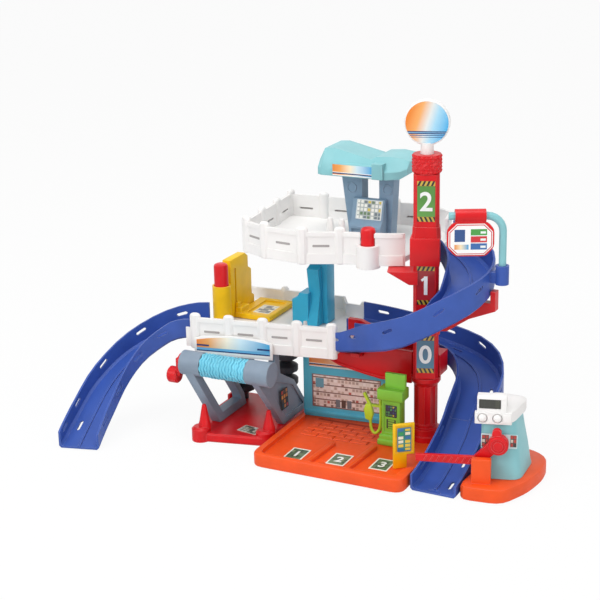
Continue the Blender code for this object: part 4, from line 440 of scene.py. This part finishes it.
def brush_fibre(name):
    """Nylon brush fibre: thin dark strands side by side, each with its own sheen."""
    material, tree, shader = new_material(name)
    place = add(tree, "ShaderNodeTexCoord").outputs["Object"]
    strand = add(tree, "ShaderNodeTexNoise", {"Vector": place, "Scale": 700.0, "Detail": 2.0}).outputs["Fac"]
    tree.links.new(overprint(tree, "#14161A", ("#3A3E46", strand)), shader.inputs["Base Color"])
    bump = add(tree, "ShaderNodeBump", {"Height": strand, "Strength": 0.5, "Distance": 0.0006})
    tree.links.new(bump.outputs[0], shader.inputs["Normal"])
    shader.inputs["Roughness"].default_value = 0.55
    return material


# Values that a user would change

class GaragePlastics(bpy.types.PropertyGroup):
    """Colours of the moulded pieces."""
    red: colour("Red", "Tower, arms, gate, sign and button", "#DF141C")
    orange: colour("Orange", "Ground plates", "#F4561A")
    blue: colour("Blue", "Car tracks", "#3B5BAE")
    white: colour("White", "Decks, booth cap and round sign", "#F1EFED")
    yellow: colour("Yellow", "Lift and price board", "#FFCB12")
    teal: colour("Teal", "Pillar between the decks", "#3CBBE2")
    pale_teal: colour("Pale teal", "Cabin roof, booth and sign post", "#8AC6CC")
    grey: colour("Grey", "Legs of the car wash", "#8797A8")
    blue_grey: colour("Blue grey", "Cabin columns and console", "#88A4BC")
    sky_blue: colour("Sky blue", "Wash roller", "#79D2EA")
    green: colour("Green", "Fuel pump", "#87CB3F")
    lime: colour("Lime", "Pump nozzle", "#BCDB33")
    dark: colour("Dark", "Brushes and screen", "#23262B")
    shop: colour("Shop blue", "Back wall of the parking floor", "#5CC9E6")


class GarageLabels(bpy.types.PropertyGroup):
    """Sizes of the printed labels and of the figures on them."""
    figure_height: length("Figure height", "Height of the level numbers on the tower", 0.0235, 0.01, 0.03)
    bay_figure: length("Bay figure", "Height of the numbers on the parking bays", 0.0150, 0.008, 0.02)
    tower_label: length("Tower label width", "Width of the labels on the tower's flat front", 0.0224, 0.015,
                        0.0245)


class GarageForms(bpy.types.PropertyGroup):
    """Sizes of the modelled details."""
    post_radius: length("Post radius", "Half width of the domed deck posts", 0.0076, 0.005, 0.009)
    ribbons: IntProperty(name="Ribbons", description="Number of ribbons on the wash roller", default=15,
                         min=6, max=20)
    brick_length: length("Brick length", "Length of one paving brick", 0.0240, 0.018, 0.0245)


class GarageStage(bpy.types.PropertyGroup):
    """Lamps and backdrop."""
    key: power("Key lamp", "Power of the soft lamp at the front left", 19.0)
    fill: power("Fill lamp", "Power of the soft lamp at the right", 9.0)
    top: power("Top lamp", "Power of the soft lamp overhead", 21.0)
    sky: FloatProperty(name="Room light", description="Strength of the even light from all sides",
                       default=0.50, min=0.0)


# Modelling

SLOT_LOOKS = {}


def look_of(slot):
    """The finish made for a record slot."""
    if slot not in SLOT_LOOKS:
        raise RuntimeError(f"no finish was made for slot {slot}: run the finishes first")
    return SLOT_LOOKS[slot]


def skin(node_name, look):
    """A merged, smoothly shaded copy of a CAD node stands for it, in its slot's own finish or another."""
    node = frame["nodes"][node_name]
    slot = node.data.materials[0].name.split(".")[0]
    only(node)
    bpy.ops.object.duplicate()
    piece = bpy.context.object
    for key in [key for key in piece.keys() if key.startswith("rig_")]:
        del piece[key]
    piece.parent = None
    piece.matrix_basis = Matrix.Identity(4)
    bpy.ops.mesh.customdata_custom_splitnormals_clear()
    edit_all()
    bpy.ops.mesh.remove_doubles(threshold=0.000004)
    leave_edit()
    bpy.ops.object.shade_smooth_by_angle(angle=math.radians(32.0))
    complete(piece, f"{node_name}_moulding", slot, node["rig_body"], look=look)
    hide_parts(node_name)


def pick(piece, test):
    """Enters edit mode with only the faces that pass the test selected."""
    bpy.ops.object.mode_set(mode="EDIT")
    bpy.ops.mesh.select_mode(type="FACE")
    bpy.ops.mesh.select_all(action="DESELECT")
    leave_edit()
    found = 0
    for polygon in piece.data.polygons:
        polygon.select = test(polygon)
        found += polygon.select
    if not found:
        raise RuntimeError(f"no face of {piece.name} was found")
    bpy.ops.object.mode_set(mode="EDIT")


def round_off(piece, test, offset, segments):
    """Rounds the edges of the faces that pass the test."""
    pick(piece, test)
    bpy.ops.mesh.bevel(offset=offset, segments=segments, affect="EDGES")
    leave_edit()


def repeat(model, places):
    """Copies a modelled piece to each place, joins the copies, and drops the model."""
    copies = []
    for place in places:
        only(model)
        bpy.ops.object.duplicate()
        copies.append(bpy.context.object)
        copies[-1].data.transform(place)
    start()
    model.select_set(True)
    bpy.ops.object.delete()
    for copy in copies:
        copy.select_set(True)
    bpy.context.view_layer.objects.active = copies[0]
    bpy.ops.object.join()
    return bpy.context.object


def smooth(piece, angle=35.0):
    """Shades a piece smoothly up to an angle."""
    only(piece)
    bpy.ops.object.shade_smooth_by_angle(angle=math.radians(angle))


def drum(radius, depth, vertices, along="Y"):
    """A closed cylinder along Y or Z with its middle at the origin, applied and ready to be worked on."""
    start()
    turn = (QUARTER if along == "Y" else 0.0, 0.0, 0.0)
    bpy.ops.mesh.primitive_cylinder_add(vertices=vertices, radius=radius, depth=depth, rotation=turn)
    return applied()


def disc(vertices, radius):
    """A flat round face in X and Z that looks to -Y, without thickness yet."""
    start()
    bpy.ops.mesh.primitive_circle_add(vertices=vertices, radius=radius, fill_type="NGON",
                                      rotation=(QUARTER, 0.0, 0.0))
    return applied()


def thicken(depth):
    """Gives the active flat piece its depth towards -Y, with its normals outwards."""
    edit_all()
    bpy.ops.mesh.extrude_region_move(TRANSFORM_OT_translate={"value": (0.0, -depth, 0.0)})
    bpy.ops.mesh.select_all(action="SELECT")
    bpy.ops.mesh.normals_make_consistent(inside=False)
    leave_edit()


def sheet(outline, depth):
    """A flat plate from an outline in X and Z, its back on the plane and its face depth towards -Y."""
    piece = disc(len(outline), 0.01)
    for vertex, (x, z) in zip(piece.data.vertices, outline):
        vertex.co = (x, 0.0, z)
    thicken(depth)
    return piece


def map_print(piece, width, low, high):
    """Lays a print over a piece's face: across its width, and up between two heights."""
    layer = piece.data.uv_layers.active or piece.data.uv_layers.new(name="print")
    for loop in piece.data.loops:
        point = piece.data.vertices[loop.vertex_index].co
        layer.data[loop.index].uv = (point.x / width + 0.5, (point.z - low) / (high - low))


def plaque(name, width, height, place, material, slot="white_plastic", body="frame", corner=0.0008,
           segments=3, arch=0.0):
    """A thin printed plate in its own frame: X along, Z up, its face to -Y, its top straight or arched."""
    start()
    bpy.ops.mesh.primitive_plane_add(size=1.0, rotation=(QUARTER, 0.0, 0.0))
    bpy.context.object.scale = (width, height, 1.0)
    piece = applied()
    edit_all()
    if arch > 0.0:
        bpy.ops.mesh.subdivide(number_cuts=11)
    else:
        bpy.ops.mesh.bevel(offset=corner, segments=segments, affect="VERTICES")
    leave_edit()
    if arch > 0.0:
        for vertex in piece.data.vertices:
            share = (vertex.co.z / height + 0.5) * (1.0 - (2.0 * vertex.co.x / width) ** 2)
            vertex.co.z += arch * share - arch * 0.5 * (vertex.co.z / height + 0.5)
    thicken(SHEET)
    heights = [vertex.co.z for vertex in piece.data.vertices]
    map_print(piece, width, min(heights), max(heights))
    complete(piece, name, slot, body, place, material)


def figure(name, text, height, place, material, bold=0.0006):
    """A plain number, cut from thin white film, in its own frame."""
    start()
    bpy.ops.object.text_add()
    writing = bpy.context.object.data
    writing.body = text
    writing.align_x = "CENTER"
    writing.align_y = "CENTER"
    writing.size = height / 0.69
    writing.offset = bold
    writing.extrude = SHEET * 0.6
    writing.resolution_u = 6
    bpy.ops.object.convert(target="MESH")
    piece = bpy.context.object
    edit_all()
    bpy.ops.mesh.remove_doubles(threshold=0.000002)
    bpy.ops.mesh.normals_make_consistent(inside=False)
    leave_edit()
    piece.data.transform(turned(QUARTER, "X"))
    across = [vertex.co.x for vertex in piece.data.vertices]
    up = [vertex.co.z for vertex in piece.data.vertices]
    piece.data.transform(at(-(min(across) + max(across)) / 2.0, 0.0, -(min(up) + max(up)) / 2.0))
    complete(piece, name, "white_plastic", "frame", place, material)


# Operators

class GARAGE_OT_finishes(bpy.types.Operator):
    """Make the plastics of all record slots."""
    bl_idname = "garage.finishes"
    bl_label = "Make the plastics"

    def execute(self, context):
        tint = context.scene.garage_plastics
        for key, surface, roughness, grain, deep in PLASTICS:
            SLOT_LOOKS[f"{key}_plastic"] = moulded_plastic(f"{key}_{surface}_abs_moulded", getattr(tint, key),
                                                           roughness, grain, deep)
        for key, name, shade, roughness, grain, deep in (
                ("shop_blue", "shop_blue_satin", tint.shop, 0.38, 0.03, 0.90),
                # painted shade: mid grey strips for the shaded insides of the deck slots
                ("slot_shade", "shaded_white", linear("#A9A4A2"), 0.6, 0.03, 0.92),
                # painted shade: darker orange for the shade in the joints between the bricks
                ("joint_orange", "shaded_orange", linear("#C23A0C"), 0.5, 0.05, 0.90)):
            SLOT_LOOKS[key] = moulded_plastic(f"{name}_abs_moulded", shade, roughness, grain, deep)
        SLOT_LOOKS["brush"] = brush_fibre("nylon_brush_fibre")
        return {"FINISHED"}


class GARAGE_OT_mouldings(bpy.types.Operator):
    """Dress every moulded piece of the frame in its plastic."""
    bl_idname = "garage.mouldings"
    bl_label = "Dress the mouldings"

    def execute(self, context):
        looks = {"shop_wall": look_of("shop_blue"), "brush_left": look_of("brush"),
                 "brush_right": look_of("brush")}
        for name in sorted(frame["nodes"]):
            skin(name, looks.get(name))
        return {"FINISHED"}


class GARAGE_OT_deck_posts(bpy.types.Operator):
    """Model the domed crenel posts of both decks, and grey strips in the slots between them: painted shade of
    the slots' dark insides.
    """
    bl_idname = "garage.deck_posts"
    bl_label = "Deck posts"

    def execute(self, context):
        radius = context.scene.garage_forms.post_radius
        low, high = -0.0002, 0.0490
        model = drum(radius, high - low, 24, "Z")
        model.data.transform(at(0.0, 0.0, (low + high) / 2.0))
        round_off(model, lambda face: face.normal.z > 0.9, radius * 0.62, 5)
        round_off(model, lambda face: face.normal.z < -0.9, radius * 0.25, 2)
        model.data.transform(Matrix.Diagonal((1.0, 0.62, 1.0, 1.0)))
        smooth(model)
        # a grey strip in the mouth of each slot: painted shade, standing for the slot's dark inside
        slot = sheet([(-0.0105, -0.0015), (0.0105, -0.0015), (0.0112, 0.0), (0.0105, 0.0015),
                      (-0.0105, 0.0015), (-0.0112, 0.0)], 0.0004)
        slot_middle = Vector((0.0, 0.0, 0.0243))
        places, slots = [], []
        for under, line, parts, drawn_in in DECK_WALLS:
            for i, count in enumerate(parts):
                begin, end = Vector((*line[i], under)), Vector((*line[i + 1], under))
                along = (end - begin).normalized()
                turn = turned(math.atan2(along.y, along.x))
                begin, end = begin + along * drawn_in, end - along * drawn_in
                for k in range(count + (i + 1 == len(parts))):
                    places.append(at(*begin.lerp(end, k / count)) @ turn @ at(0.0, 0.0020, 0.0))
                for k in range(count):
                    middle = begin.lerp(end, (k + 0.5) / count) + slot_middle
                    slots.append(at(*middle) @ turn @ at(0.0, 0.0002, 0.0))
        complete(repeat(model, places), "deck_posts", "white_plastic")
        complete(repeat(slot, slots), "deck_slot_shades", "white_plastic", look=look_of("slot_shade"))
        return {"FINISHED"}


class GARAGE_OT_roller_ribbons(bpy.types.Operator):
    """Model the wavy ribbons of the wash roller."""
    bl_idname = "garage.roller_ribbons"
    bl_label = "Roller ribbons"

    def execute(self, context):
        count = context.scene.garage_forms.ribbons
        waves = 9.0
        start()
        bpy.ops.mesh.primitive_torus_add(major_radius=0.0151, minor_radius=0.00115, major_segments=72,
                                         minor_segments=8)
        model = bpy.context.object
        for vertex in model.data.vertices:
            angle = math.atan2(vertex.co.y, vertex.co.x)
            vertex.co.z = vertex.co.z * 1.35 + 0.00085 * math.sin(waves * angle)
            vertex.co.xy *= 1.0 + 0.018 * math.sin(waves * angle + 1.4)
        smooth(model, 60.0)
        left, right = ROLLER_ENDS
        places = []
        for i in range(count):
            x = left + (right - left) * i / (count - 1)
            turn = turned(0.55 * i + 0.12 * (i % 3))
            places.append(at(x, *ROLLER_AXIS) @ turned(QUARTER, "Y") @ turn)
        complete(repeat(model, places), "roller_ribbons", "sky_blue_plastic", "roller")
        return {"FINISHED"}


class GARAGE_OT_knob_studs(bpy.types.Operator):
    """Model the staggered pyramid studs of the tower's knob."""
    bl_idname = "garage.knob_studs"
    bl_label = "Knob studs"

    def execute(self, context):
        rows, columns, pitch = 5, 19, 0.0045
        start()
        bpy.ops.mesh.primitive_cone_add(vertices=4, radius1=0.0036, radius2=0.0009, depth=0.0022)
        model = bpy.context.object
        round_off(model, lambda face: face.normal.z > 0.9, 0.0003, 2)
        model.data.transform(Matrix.Diagonal((0.92, 0.92, 1.0, 1.0)))
        outward = at(0.0, -0.0180, 0.0) @ turned(QUARTER, "X")
        places = []
        for row in range(rows):
            for column in range(columns):
                turn = math.radians(360.0 / columns * (column + 0.5 * (row % 2)))
                places.append(at(0.0, 0.0, LOWEST_STUDS + pitch * row) @ turned(turn) @ outward)
        complete(repeat(model, places), "knob_studs", "red_plastic", "top_sign")
        return {"FINISHED"}


class GARAGE_OT_arm_web(bpy.types.Operator):
    """Model the red web of the tower's left arm in front of the shop wall."""
    bl_idname = "garage.arm_web"
    bl_label = "Arm web"

    def execute(self, context):
        web = sheet([(-0.1400, 0.1160), (-0.1400, 0.1045), (-0.1237, 0.0972), (-0.0869, 0.0899),
                     (-0.0627, 0.0862), (-0.0190, 0.0866), (-0.0180, 0.1300), (-0.0450, 0.1310),
                     (-0.0600, 0.1298), (-0.0868, 0.1262), (-0.0868, 0.1160)], 0.0070)
        web.data.transform(at(0.0, 0.0035, 0.0))
        edit_all()
        bpy.ops.mesh.bevel(offset=0.0009, segments=3, affect="EDGES")
        leave_edit()
        smooth(web)
        complete(web, "arm_web", "red_plastic")
        rib = sheet([(-0.1385, 0.1083), (-0.1385, 0.1058), (-0.1232, 0.0990), (-0.0867, 0.0918),
                     (-0.0627, 0.0882), (-0.0300, 0.0884), (-0.0300, 0.0910), (-0.0630, 0.0908),
                     (-0.0872, 0.0944), (-0.1240, 0.1016)], 0.0020)
        rib.data.transform(at(0.0, -0.0030, 0.0))
        round_off(rib, lambda face: face.normal.y < -0.9, 0.0006, 2)
        smooth(rib)
        complete(rib, "arm_web_rib", "red_plastic")
        return {"FINISHED"}


class GARAGE_OT_paving(bpy.types.Operator):
    """Model the brick courses on the parking floor, and a darker orange sheet under them that shows in the
    gaps: painted shade in the joints.
    """
    bl_idname = "garage.paving"
    bl_label = "Brick paving"

    def execute(self, context):
        size = context.scene.garage_forms.brick_length
        width, gap = size * 0.46, 0.0016
        left, front = FIRST_BRICK
        start()
        bpy.ops.mesh.primitive_cube_add(size=1.0)
        bpy.context.object.scale = (size - gap, width - gap, 0.0026)
        brick = applied()
        round_off(brick, lambda face: face.normal.z > 0.9, 0.0009, 3)
        half = Matrix.Diagonal(((size / 2.0 - gap) / (size - gap), 1.0, 1.0, 1.0))
        places = []
        for row in range(5):
            y = front + width * row
            begin = left + (size / 2.0 if row % 2 else 0.0)
            for column in range(4 if row < 2 else 5 - row % 2):
                places.append(at(begin + size * column, y, BRICK_LEVEL))
            if row % 2:
                places.append(at(left - size / 4.0, y, BRICK_LEVEL) @ half)
        complete(repeat(brick, places), "brick_paving", "orange_plastic")
        # a darker orange sheet under the bricks, seen in the gaps: painted shade in the joints between them
        joint_shade_sheet = sheet([(-0.1575, -0.0050), (-0.1575, 0.0560), (-0.0530, 0.0560), (-0.0530, 0.0400),
                     (-0.0590, 0.0180), (-0.0600, -0.0050)], 0.0004)
        complete(joint_shade_sheet, "brick_bed", "orange_plastic", place=lying((0.0, -0.0505, BRICK_LEVEL)),
                 look=look_of("joint_orange"))
        return {"FINISHED"}


class GARAGE_OT_gate_hub(bpy.types.Operator):
    """Model the dished cap on the gate's hub."""
    bl_idname = "garage.gate_hub"
    bl_label = "Gate hub cap"

    def execute(self, context):
        cap = drum(0.0116, 0.0030, 40)
        round_off(cap, lambda face: face.normal.y < -0.9, 0.0008, 3)
        pick(cap, lambda face: face.normal.y < -0.99)
        for inset, push in ((0.0022, 0.0011), (0.0030, -0.0012)):
            bpy.ops.mesh.inset(thickness=inset)
            bpy.ops.mesh.extrude_region_move(TRANSFORM_OT_translate={"value": (0.0, push, 0.0)})
        leave_edit()
        smooth(cap)
        place = frame_at(GATE_AXLE, BOOTH_TURN) @ at(0.0, -0.0058, 0.0)
        complete(cap, "gate_hub_cap", "red_plastic", "gate", place)
        return {"FINISHED"}


class GARAGE_OT_tower_labels(bpy.types.Operator):
    """Put the level labels, their stripes and plain numbers on the tower."""
    bl_idname = "garage.tower_labels"
    bl_label = "Tower labels"

    def execute(self, context):
        sizes = context.scene.garage_labels
        width, stripe = sizes.tower_label, 0.0060
        tower = turned(TOWER_TURN)
        rising = hazard_print("hazard_rising_print_on_vinyl", 0.5)
        falling = hazard_print("hazard_falling_print_on_vinyl", -0.5)
        white = field_print("white_film_on_vinyl", "#F2F2F0")
        for name, number, low, high, code, lower in (("ground", "0", 0.1090, 0.1595, "#3E6C86", "#4F86A2"),
                                                     ("first", "1", 0.2015, 0.2525, "#A3171C", "#C4262A"),
                                                     ("second", "2", 0.3105, 0.3625, "#4C8A33", "#5E9C40")):
            field = field_print(f"{name}_field_print_on_vinyl", code, lower)
            middle = (low + high) / 2.0
            plaque(f"{name}_label", width, high - low - 2 * stripe - 0.0006,
                   tower @ at(0.0, LABEL_BACK, middle), field, "green_plastic", corner=0.0003, segments=1)
            for edge, look, height in (("top", falling, high - stripe / 2.0),
                                       ("foot", rising, low + stripe / 2.0)):
                plaque(f"{name}_stripes_{edge}", width, stripe, tower @ at(0.0, LABEL_BACK, height), look,
                       "yellow_plastic", corner=0.0003, segments=1)
            lift = tower @ at(0.0, FIGURE_BACK, middle)
            figure(f"{name}_number", number, sizes.figure_height, lift, white)
            if number == "1":
                flag = lift @ at(-0.0030, 0.0, sizes.figure_height * 0.36) @ turned(-0.7, "Y")
                plaque(f"{name}_number_flag", 0.0062, 0.0030, flag, white, corner=0.0003, segments=1)
        return {"FINISHED"}


class GARAGE_OT_signs(bpy.types.Operator):
    """Print the round sign and the swinging parking sign."""
    bl_idname = "garage.signs"
    bl_label = "Signs"

    def execute(self, context):
        radius = 0.0266
        face = disc(56, radius)
        thicken(SHEET)
        map_print(face, 2.0 * radius, -radius, radius)
        complete(face, "round_sign_print", "white_plastic", "top_sign",
                 turned(ROUND_SIGN_TURN) @ at(*ROUND_SIGN), round_print("round_sign_print_on_vinyl"))

        hinge = frame_at(SIGN_HINGE, SIGN_TURN)
        for part, width, height, out, corner, code in (
                ("white_edge", 0.0545, 0.0398, 0.0068, 0.0102, "#F4F4F2"),
                ("red_line", 0.0520, 0.0374, 0.0071, 0.0094, "#D0202A"),
                ("print", 0.0500, 0.0354, 0.0074, 0.0089, "")):
            if code:
                look = field_print(f"parking_{part}_film", code)
            else:
                look = parking_print("parking_sign_print_on_vinyl")
            plaque(f"parking_sign_{part}", width, height, hinge @ at(0.0, -out, -0.02825), look,
                   body="swing_sign", corner=corner, segments=1)
        return {"FINISHED"}


class GARAGE_OT_banners(bpy.types.Operator):
    """Put the banners over the cabin, the wash and the shop, and the picture on the shop's wall."""
    bl_idname = "garage.banners"
    bl_label = "Banners"

    def execute(self, context):
        banner = banner_print("cabin_banner_print_on_vinyl")
        plaque("cabin_banner", 0.0566, 0.0148, frame_at((-0.1219, 0.0440, 0.35205)), banner, corner=0.0006)
        wash = frame_at(WASH_SIGN, math.atan2(0.032, 0.199)) @ at(0.061, -0.0057, 0.0025)
        plaque("wash_banner", 0.1030, 0.0215, wash, wash_print("wash_banner_print_on_vinyl"), arch=0.0055)
        shop = frame_at(SHOP_WALL, SHOP_TURN)
        plaque("shop_banner", 0.1055, 0.0160, shop @ at(0.0615, 0.0010, 0.0934), banner, corner=0.0006)
        plaque("shop_shelf_picture", 0.0980, 0.0475, shop @ at(0.0615, 0.0016, 0.0509),
               shelf_print("shop_shelf_print_on_vinyl"), corner=0.0006)
        return {"FINISHED"}


class GARAGE_OT_panels(bpy.types.Operator):
    """Put the small printed panels on the console, the lift, the pump, the board, the wash and the booth."""
    bl_idname = "garage.panels"
    bl_label = "Small panels"

    def execute(self, context):
        console = panel_print("console", "#A9B2B0", [
            (0.0, "#F0F1EA"), (0.3, "#55764C"), (0.45, "#D9C23A"), (0.55, "#5B6B74"), (0.75, "#E2E6DE"),
            (0.9, "#2F3A42")], 7.0, 5.0, 7.0, 0.13, "#DCE2E0", 0.045)
        tilt = -math.atan2(0.008, 0.028)
        plaque("console_panel", 0.0366, 0.0262, frame_at((-0.1050, 0.0600, 0.2976), 0.0, tilt), console)
        lift = panel_print("lift", "#7F7A68", [
            (0.0, "#3D4A52"), (0.3, "#C9C7B4"), (0.6, "#8E8A70"), (0.8, "#E8E4D2")],
            3.0, 6.0, 5.0, 0.10, "#E9E3C8", 0.07)
        plaque("lift_panel", 0.0250, 0.0360, lying((-0.2690, 0.0720, 0.13465)), lift, "yellow_plastic",
               "platform")
        pump = panel_print("pump", "#1D2A3A", [
            (0.0, "#2A4A78"), (0.35, "#C9C23A"), (0.5, "#1F3350"), (0.8, "#3E9A5A")],
            5.0, 4.0, 2.0, 0.16, "#161D22", 0.09)
        plaque("pump_panel", 0.0160, 0.0165, frame_at((*PUMP_FACE, 0.0600)), pump)
        slats = panel_print("pump_slats", "#2B3A20", [(0.0, "#7DBF3A"), (0.6, "#8ACB45")],
                            1.0, 4.0, 4.0, 0.16, "#26331D", 0.04)
        plaque("pump_slats", 0.0130, 0.0130, frame_at((*PUMP_FACE, 0.0420)), slats, "green_plastic")
        price = panel_print("price", "#2C8A74", [
            (0.0, "#F2D23C"), (0.35, "#2E6FA8"), (0.6, "#F3EFD2"), (0.8, "#35A05A")],
            2.0, 6.0, 9.0, 0.14, "#2F7FA6", 0.05)
        board = frame_at((0.0005, -0.1120, 0.0), math.radians(38.0)) @ at(0.0140, -0.0001, 0.0515)
        plaque("price_panel", 0.0180, 0.0320, board, price, "yellow_plastic")
        wash = panel_print("wash_floor", "#6B6A60", [
            (0.0, "#D9D4BE"), (0.3, "#3E4238"), (0.55, "#9A8F74"), (0.8, "#C8C9C0")],
            6.0, 4.0, 6.0, 0.08, "#E9E6DA", 0.05)
        floor = lying((-0.2241, -0.0698, 0.0128), math.radians(-9.6))
        plaque("wash_floor_panel", 0.0310, 0.0210, floor, wash)
        leg = panel_print("wash_leg", "#2A2624", [
            (0.0, "#C98A3A"), (0.3, "#3A3431"), (0.55, "#B33A2A"), (0.75, "#E2D9B8")],
            3.0, 4.0, 3.0, 0.14, "#1E1C1C", 0.06)
        side = frame_at((-0.1905, -0.0330, 0.0500), QUARTER, math.radians(-3.0))
        plaque("wash_leg_panel", 0.0200, 0.0280, side, leg, "grey_plastic")
        booth = turned(BOOTH_TURN)
        pale = field_print("booth_band_print_on_vinyl", "#DCEBEC", "#BFDDE0")
        poster = panel_print("booth_poster", "#4A3B36", [
            (0.0, "#B8392E"), (0.35, "#D8CFC0"), (0.6, "#2F2A28"), (0.85, "#7A8C92")],
            2.0, 3.0, 4.0, 0.12, "#3A2E2A", 0.04)
        face = booth @ frame_at((0.0, -0.12640, 0.0665), 0.0, math.radians(-9.25))
        plaque("booth_band", 0.0440, 0.0175, face @ at(0.1035, 0.0, 0.0), pale)
        for hand, width, x, z in (("left", 0.0085, 0.0868, -0.0002), ("right", 0.0075, 0.1208, 0.0008)):
            plaque(f"booth_poster_{hand}", width, 0.0145, face @ at(x, -0.0003, z), poster, corner=0.0004)
        glass = panel_print("screen", "#33352B", [(0.0, "#3A3C30"), (0.5, "#2C2E26")],
                            4.0, 1.0, 2.0, 0.06, "#1B1C1A", 0.03)
        plaque("screen_glass", 0.0258, 0.0112, booth @ frame_at((0.09175, -0.12785, 0.1148)), glass,
               "dark_plastic", corner=0.0006)
        return {"FINISHED"}


class GARAGE_OT_bays(bpy.types.Operator):
    """Put a numbered sticker in each parking bay."""
    bl_idname = "garage.bays"
    bl_label = "Bay stickers"

    def execute(self, context):
        height = context.scene.garage_labels.bay_figure
        white = field_print("white_film_on_bay", "#F4F3EF")
        for number, x, y, ground in ((1, -0.1320, -0.1165, "#5B7D4A"), (2, -0.0740, -0.1115, "#6E8A4C"),
                                     (3, -0.0175, -0.1045, "#5F7F57")):
            look = panel_print(f"bay_{number}", ground, [
                (0.0, "#3F4A38"), (0.35, "#6E7B5C"), (0.5, "#52604A"), (0.8, "#7C8468")],
                4.0, 5.0, float(number), 0.06, "#F1EEDF", 0.08)
            plaque(f"bay_{number}_sticker", 0.0250, 0.0350, lying((x, y, STICKER_LEVEL)), look)
            above = lying((x, y, BAY_NUMBER_LEVEL))
            figure(f"bay_{number}_number", str(number), height, above, white, 0.0004)
        return {"FINISHED"}


class GARAGE_OT_stage(bpy.types.Operator):
    """Set the floor, the lamps and the camera."""
    bl_idname = "garage.stage"
    bl_label = "Stage"

    def execute(self, context):
        level = context.scene.garage_stage
        start()
        bpy.ops.mesh.primitive_circle_add(vertices=96, radius=6.0, fill_type="NGON",
                                          location=(0.0, 0.0, -0.0004))
        floor = bpy.context.object
        floor.name = "studio_floor"
        material = bpy.data.materials.new("pale_paper_sweep")
        tree = empty_tree(material)
        paper = add(tree, "ShaderNodeBsdfDiffuse", {"Color": (0.88, 0.88, 0.88, 1.0)})
        glow = add(tree, "ShaderNodeEmission", {"Color": (1.0, 1.0, 1.0, 1.0), "Strength": 1.0})
        rays = add(tree, "ShaderNodeLightPath").outputs
        seen = calc(tree, "MULTIPLY", rays["Is Camera Ray"], 0.93)
        both = add(tree, "ShaderNodeMixShader", {0: seen, 1: paper.outputs[0], 2: glow.outputs[0]})
        add(tree, "ShaderNodeOutputMaterial", {"Surface": both.outputs[0]})
        floor.data.materials.append(material)

        world = bpy.data.worlds.new("even_room")
        context.scene.world = world
        tree = empty_tree(world)
        rays = add(tree, "ShaderNodeLightPath").outputs
        direct = calc(tree, "MAXIMUM", rays["Is Camera Ray"], rays["Is Transmission Ray"])
        seen = calc(tree, "MAXIMUM", direct, rays["Is Glossy Ray"])
        strength = add(tree, "ShaderNodeMapRange", {"Value": seen, "To Min": level.sky, "To Max": 1.0})
        sky = add(tree, "ShaderNodeBackground", {"Color": (1.0, 1.0, 1.0, 1.0),
                                                 "Strength": strength.outputs[0]})
        add(tree, "ShaderNodeOutputWorld", {"Surface": sky.outputs[0]})

        aim = Vector((-0.1, 0.0, 0.15))
        for name, spot, size, energy in (("key_lamp", (-0.9, -1.9, 1.5), 1.1, level.key),
                                         ("fill_lamp", (1.9, -1.0, 0.9), 1.0, level.fill),
                                         ("top_lamp", (-0.1, -0.2, 2.1), 1.4, level.top)):
            bpy.ops.object.light_add(type="AREA", location=spot)
            lamp = bpy.context.object
            lamp.name = name
            lamp.data.energy = energy
            lamp.data.size = size
            lamp.rotation_euler = (aim - Vector(spot)).to_track_quat("-Z", "Y").to_euler()

        azimuth, height, roll = (math.radians(angle) for angle in CAMERA_TURN)
        ahead = Vector((-math.sin(azimuth) * math.cos(height), math.cos(azimuth) * math.cos(height),
                        -math.sin(height)))
        right = Vector((math.cos(azimuth), math.sin(azimuth), 0.0))
        up = right.cross(ahead)
        side = right * math.cos(roll) + up * math.sin(roll)
        top = up * math.cos(roll) - right * math.sin(roll)
        bpy.ops.object.camera_add()
        camera = bpy.context.object
        camera.name = "photo_camera"
        camera.matrix_world = at(*CAMERA_PLACE) @ Matrix((side, top, -ahead)).transposed().to_4x4()
        camera.data.sensor_width = SENSOR
        camera.data.lens = FOCAL_PIXELS / PHOTO_PIXELS * SENSOR
        camera.data.clip_end = 50.0
        context.scene.camera = camera
        context.scene.view_settings.view_transform = "Standard"
        return {"FINISHED"}


STEPS = ("finishes", "mouldings", "deck_posts", "roller_ribbons", "knob_studs", "arm_web", "paving",
         "gate_hub", "tower_labels", "signs", "banners", "panels", "bays", "stage")


class GARAGE_PT_panel(bpy.types.Panel):
    """The garage's operators and values."""
    bl_idname = "GARAGE_PT_panel"
    bl_label = "Toy Garage"
    bl_space_type = "VIEW_3D"
    bl_region_type = "UI"
    bl_category = "Toy Garage"

    def draw(self, context):
        layout = self.layout
        for group in (context.scene.garage_plastics, context.scene.garage_forms, context.scene.garage_labels,
                      context.scene.garage_stage):
            box = layout.box()
            for key in group.__annotations__:
                box.prop(group, key)
        for step in STEPS:
            layout.operator(f"garage.{step}")


CLASSES = (GaragePlastics, GarageForms, GarageLabels, GarageStage, GARAGE_OT_finishes, GARAGE_OT_mouldings,
           GARAGE_OT_deck_posts, GARAGE_OT_roller_ribbons, GARAGE_OT_knob_studs, GARAGE_OT_arm_web,
           GARAGE_OT_paving, GARAGE_OT_gate_hub, GARAGE_OT_tower_labels, GARAGE_OT_signs, GARAGE_OT_banners,
           GARAGE_OT_panels, GARAGE_OT_bays, GARAGE_OT_stage, GARAGE_PT_panel)


def register():
    for item in CLASSES:
        bpy.utils.register_class(item)
    bpy.types.Scene.garage_plastics = PointerProperty(type=GaragePlastics)
    bpy.types.Scene.garage_forms = PointerProperty(type=GarageForms)
    bpy.types.Scene.garage_labels = PointerProperty(type=GarageLabels)
    bpy.types.Scene.garage_stage = PointerProperty(type=GarageStage)


def unregister():
    del bpy.types.Scene.garage_stage
    del bpy.types.Scene.garage_labels
    del bpy.types.Scene.garage_forms
    del bpy.types.Scene.garage_plastics
    for item in reversed(CLASSES):
        bpy.utils.unregister_class(item)


def main():
    """Runs every step in order."""
    register()
    for step in STEPS:
        getattr(bpy.ops.garage, step)()


if __name__ == "__main__":
    main()
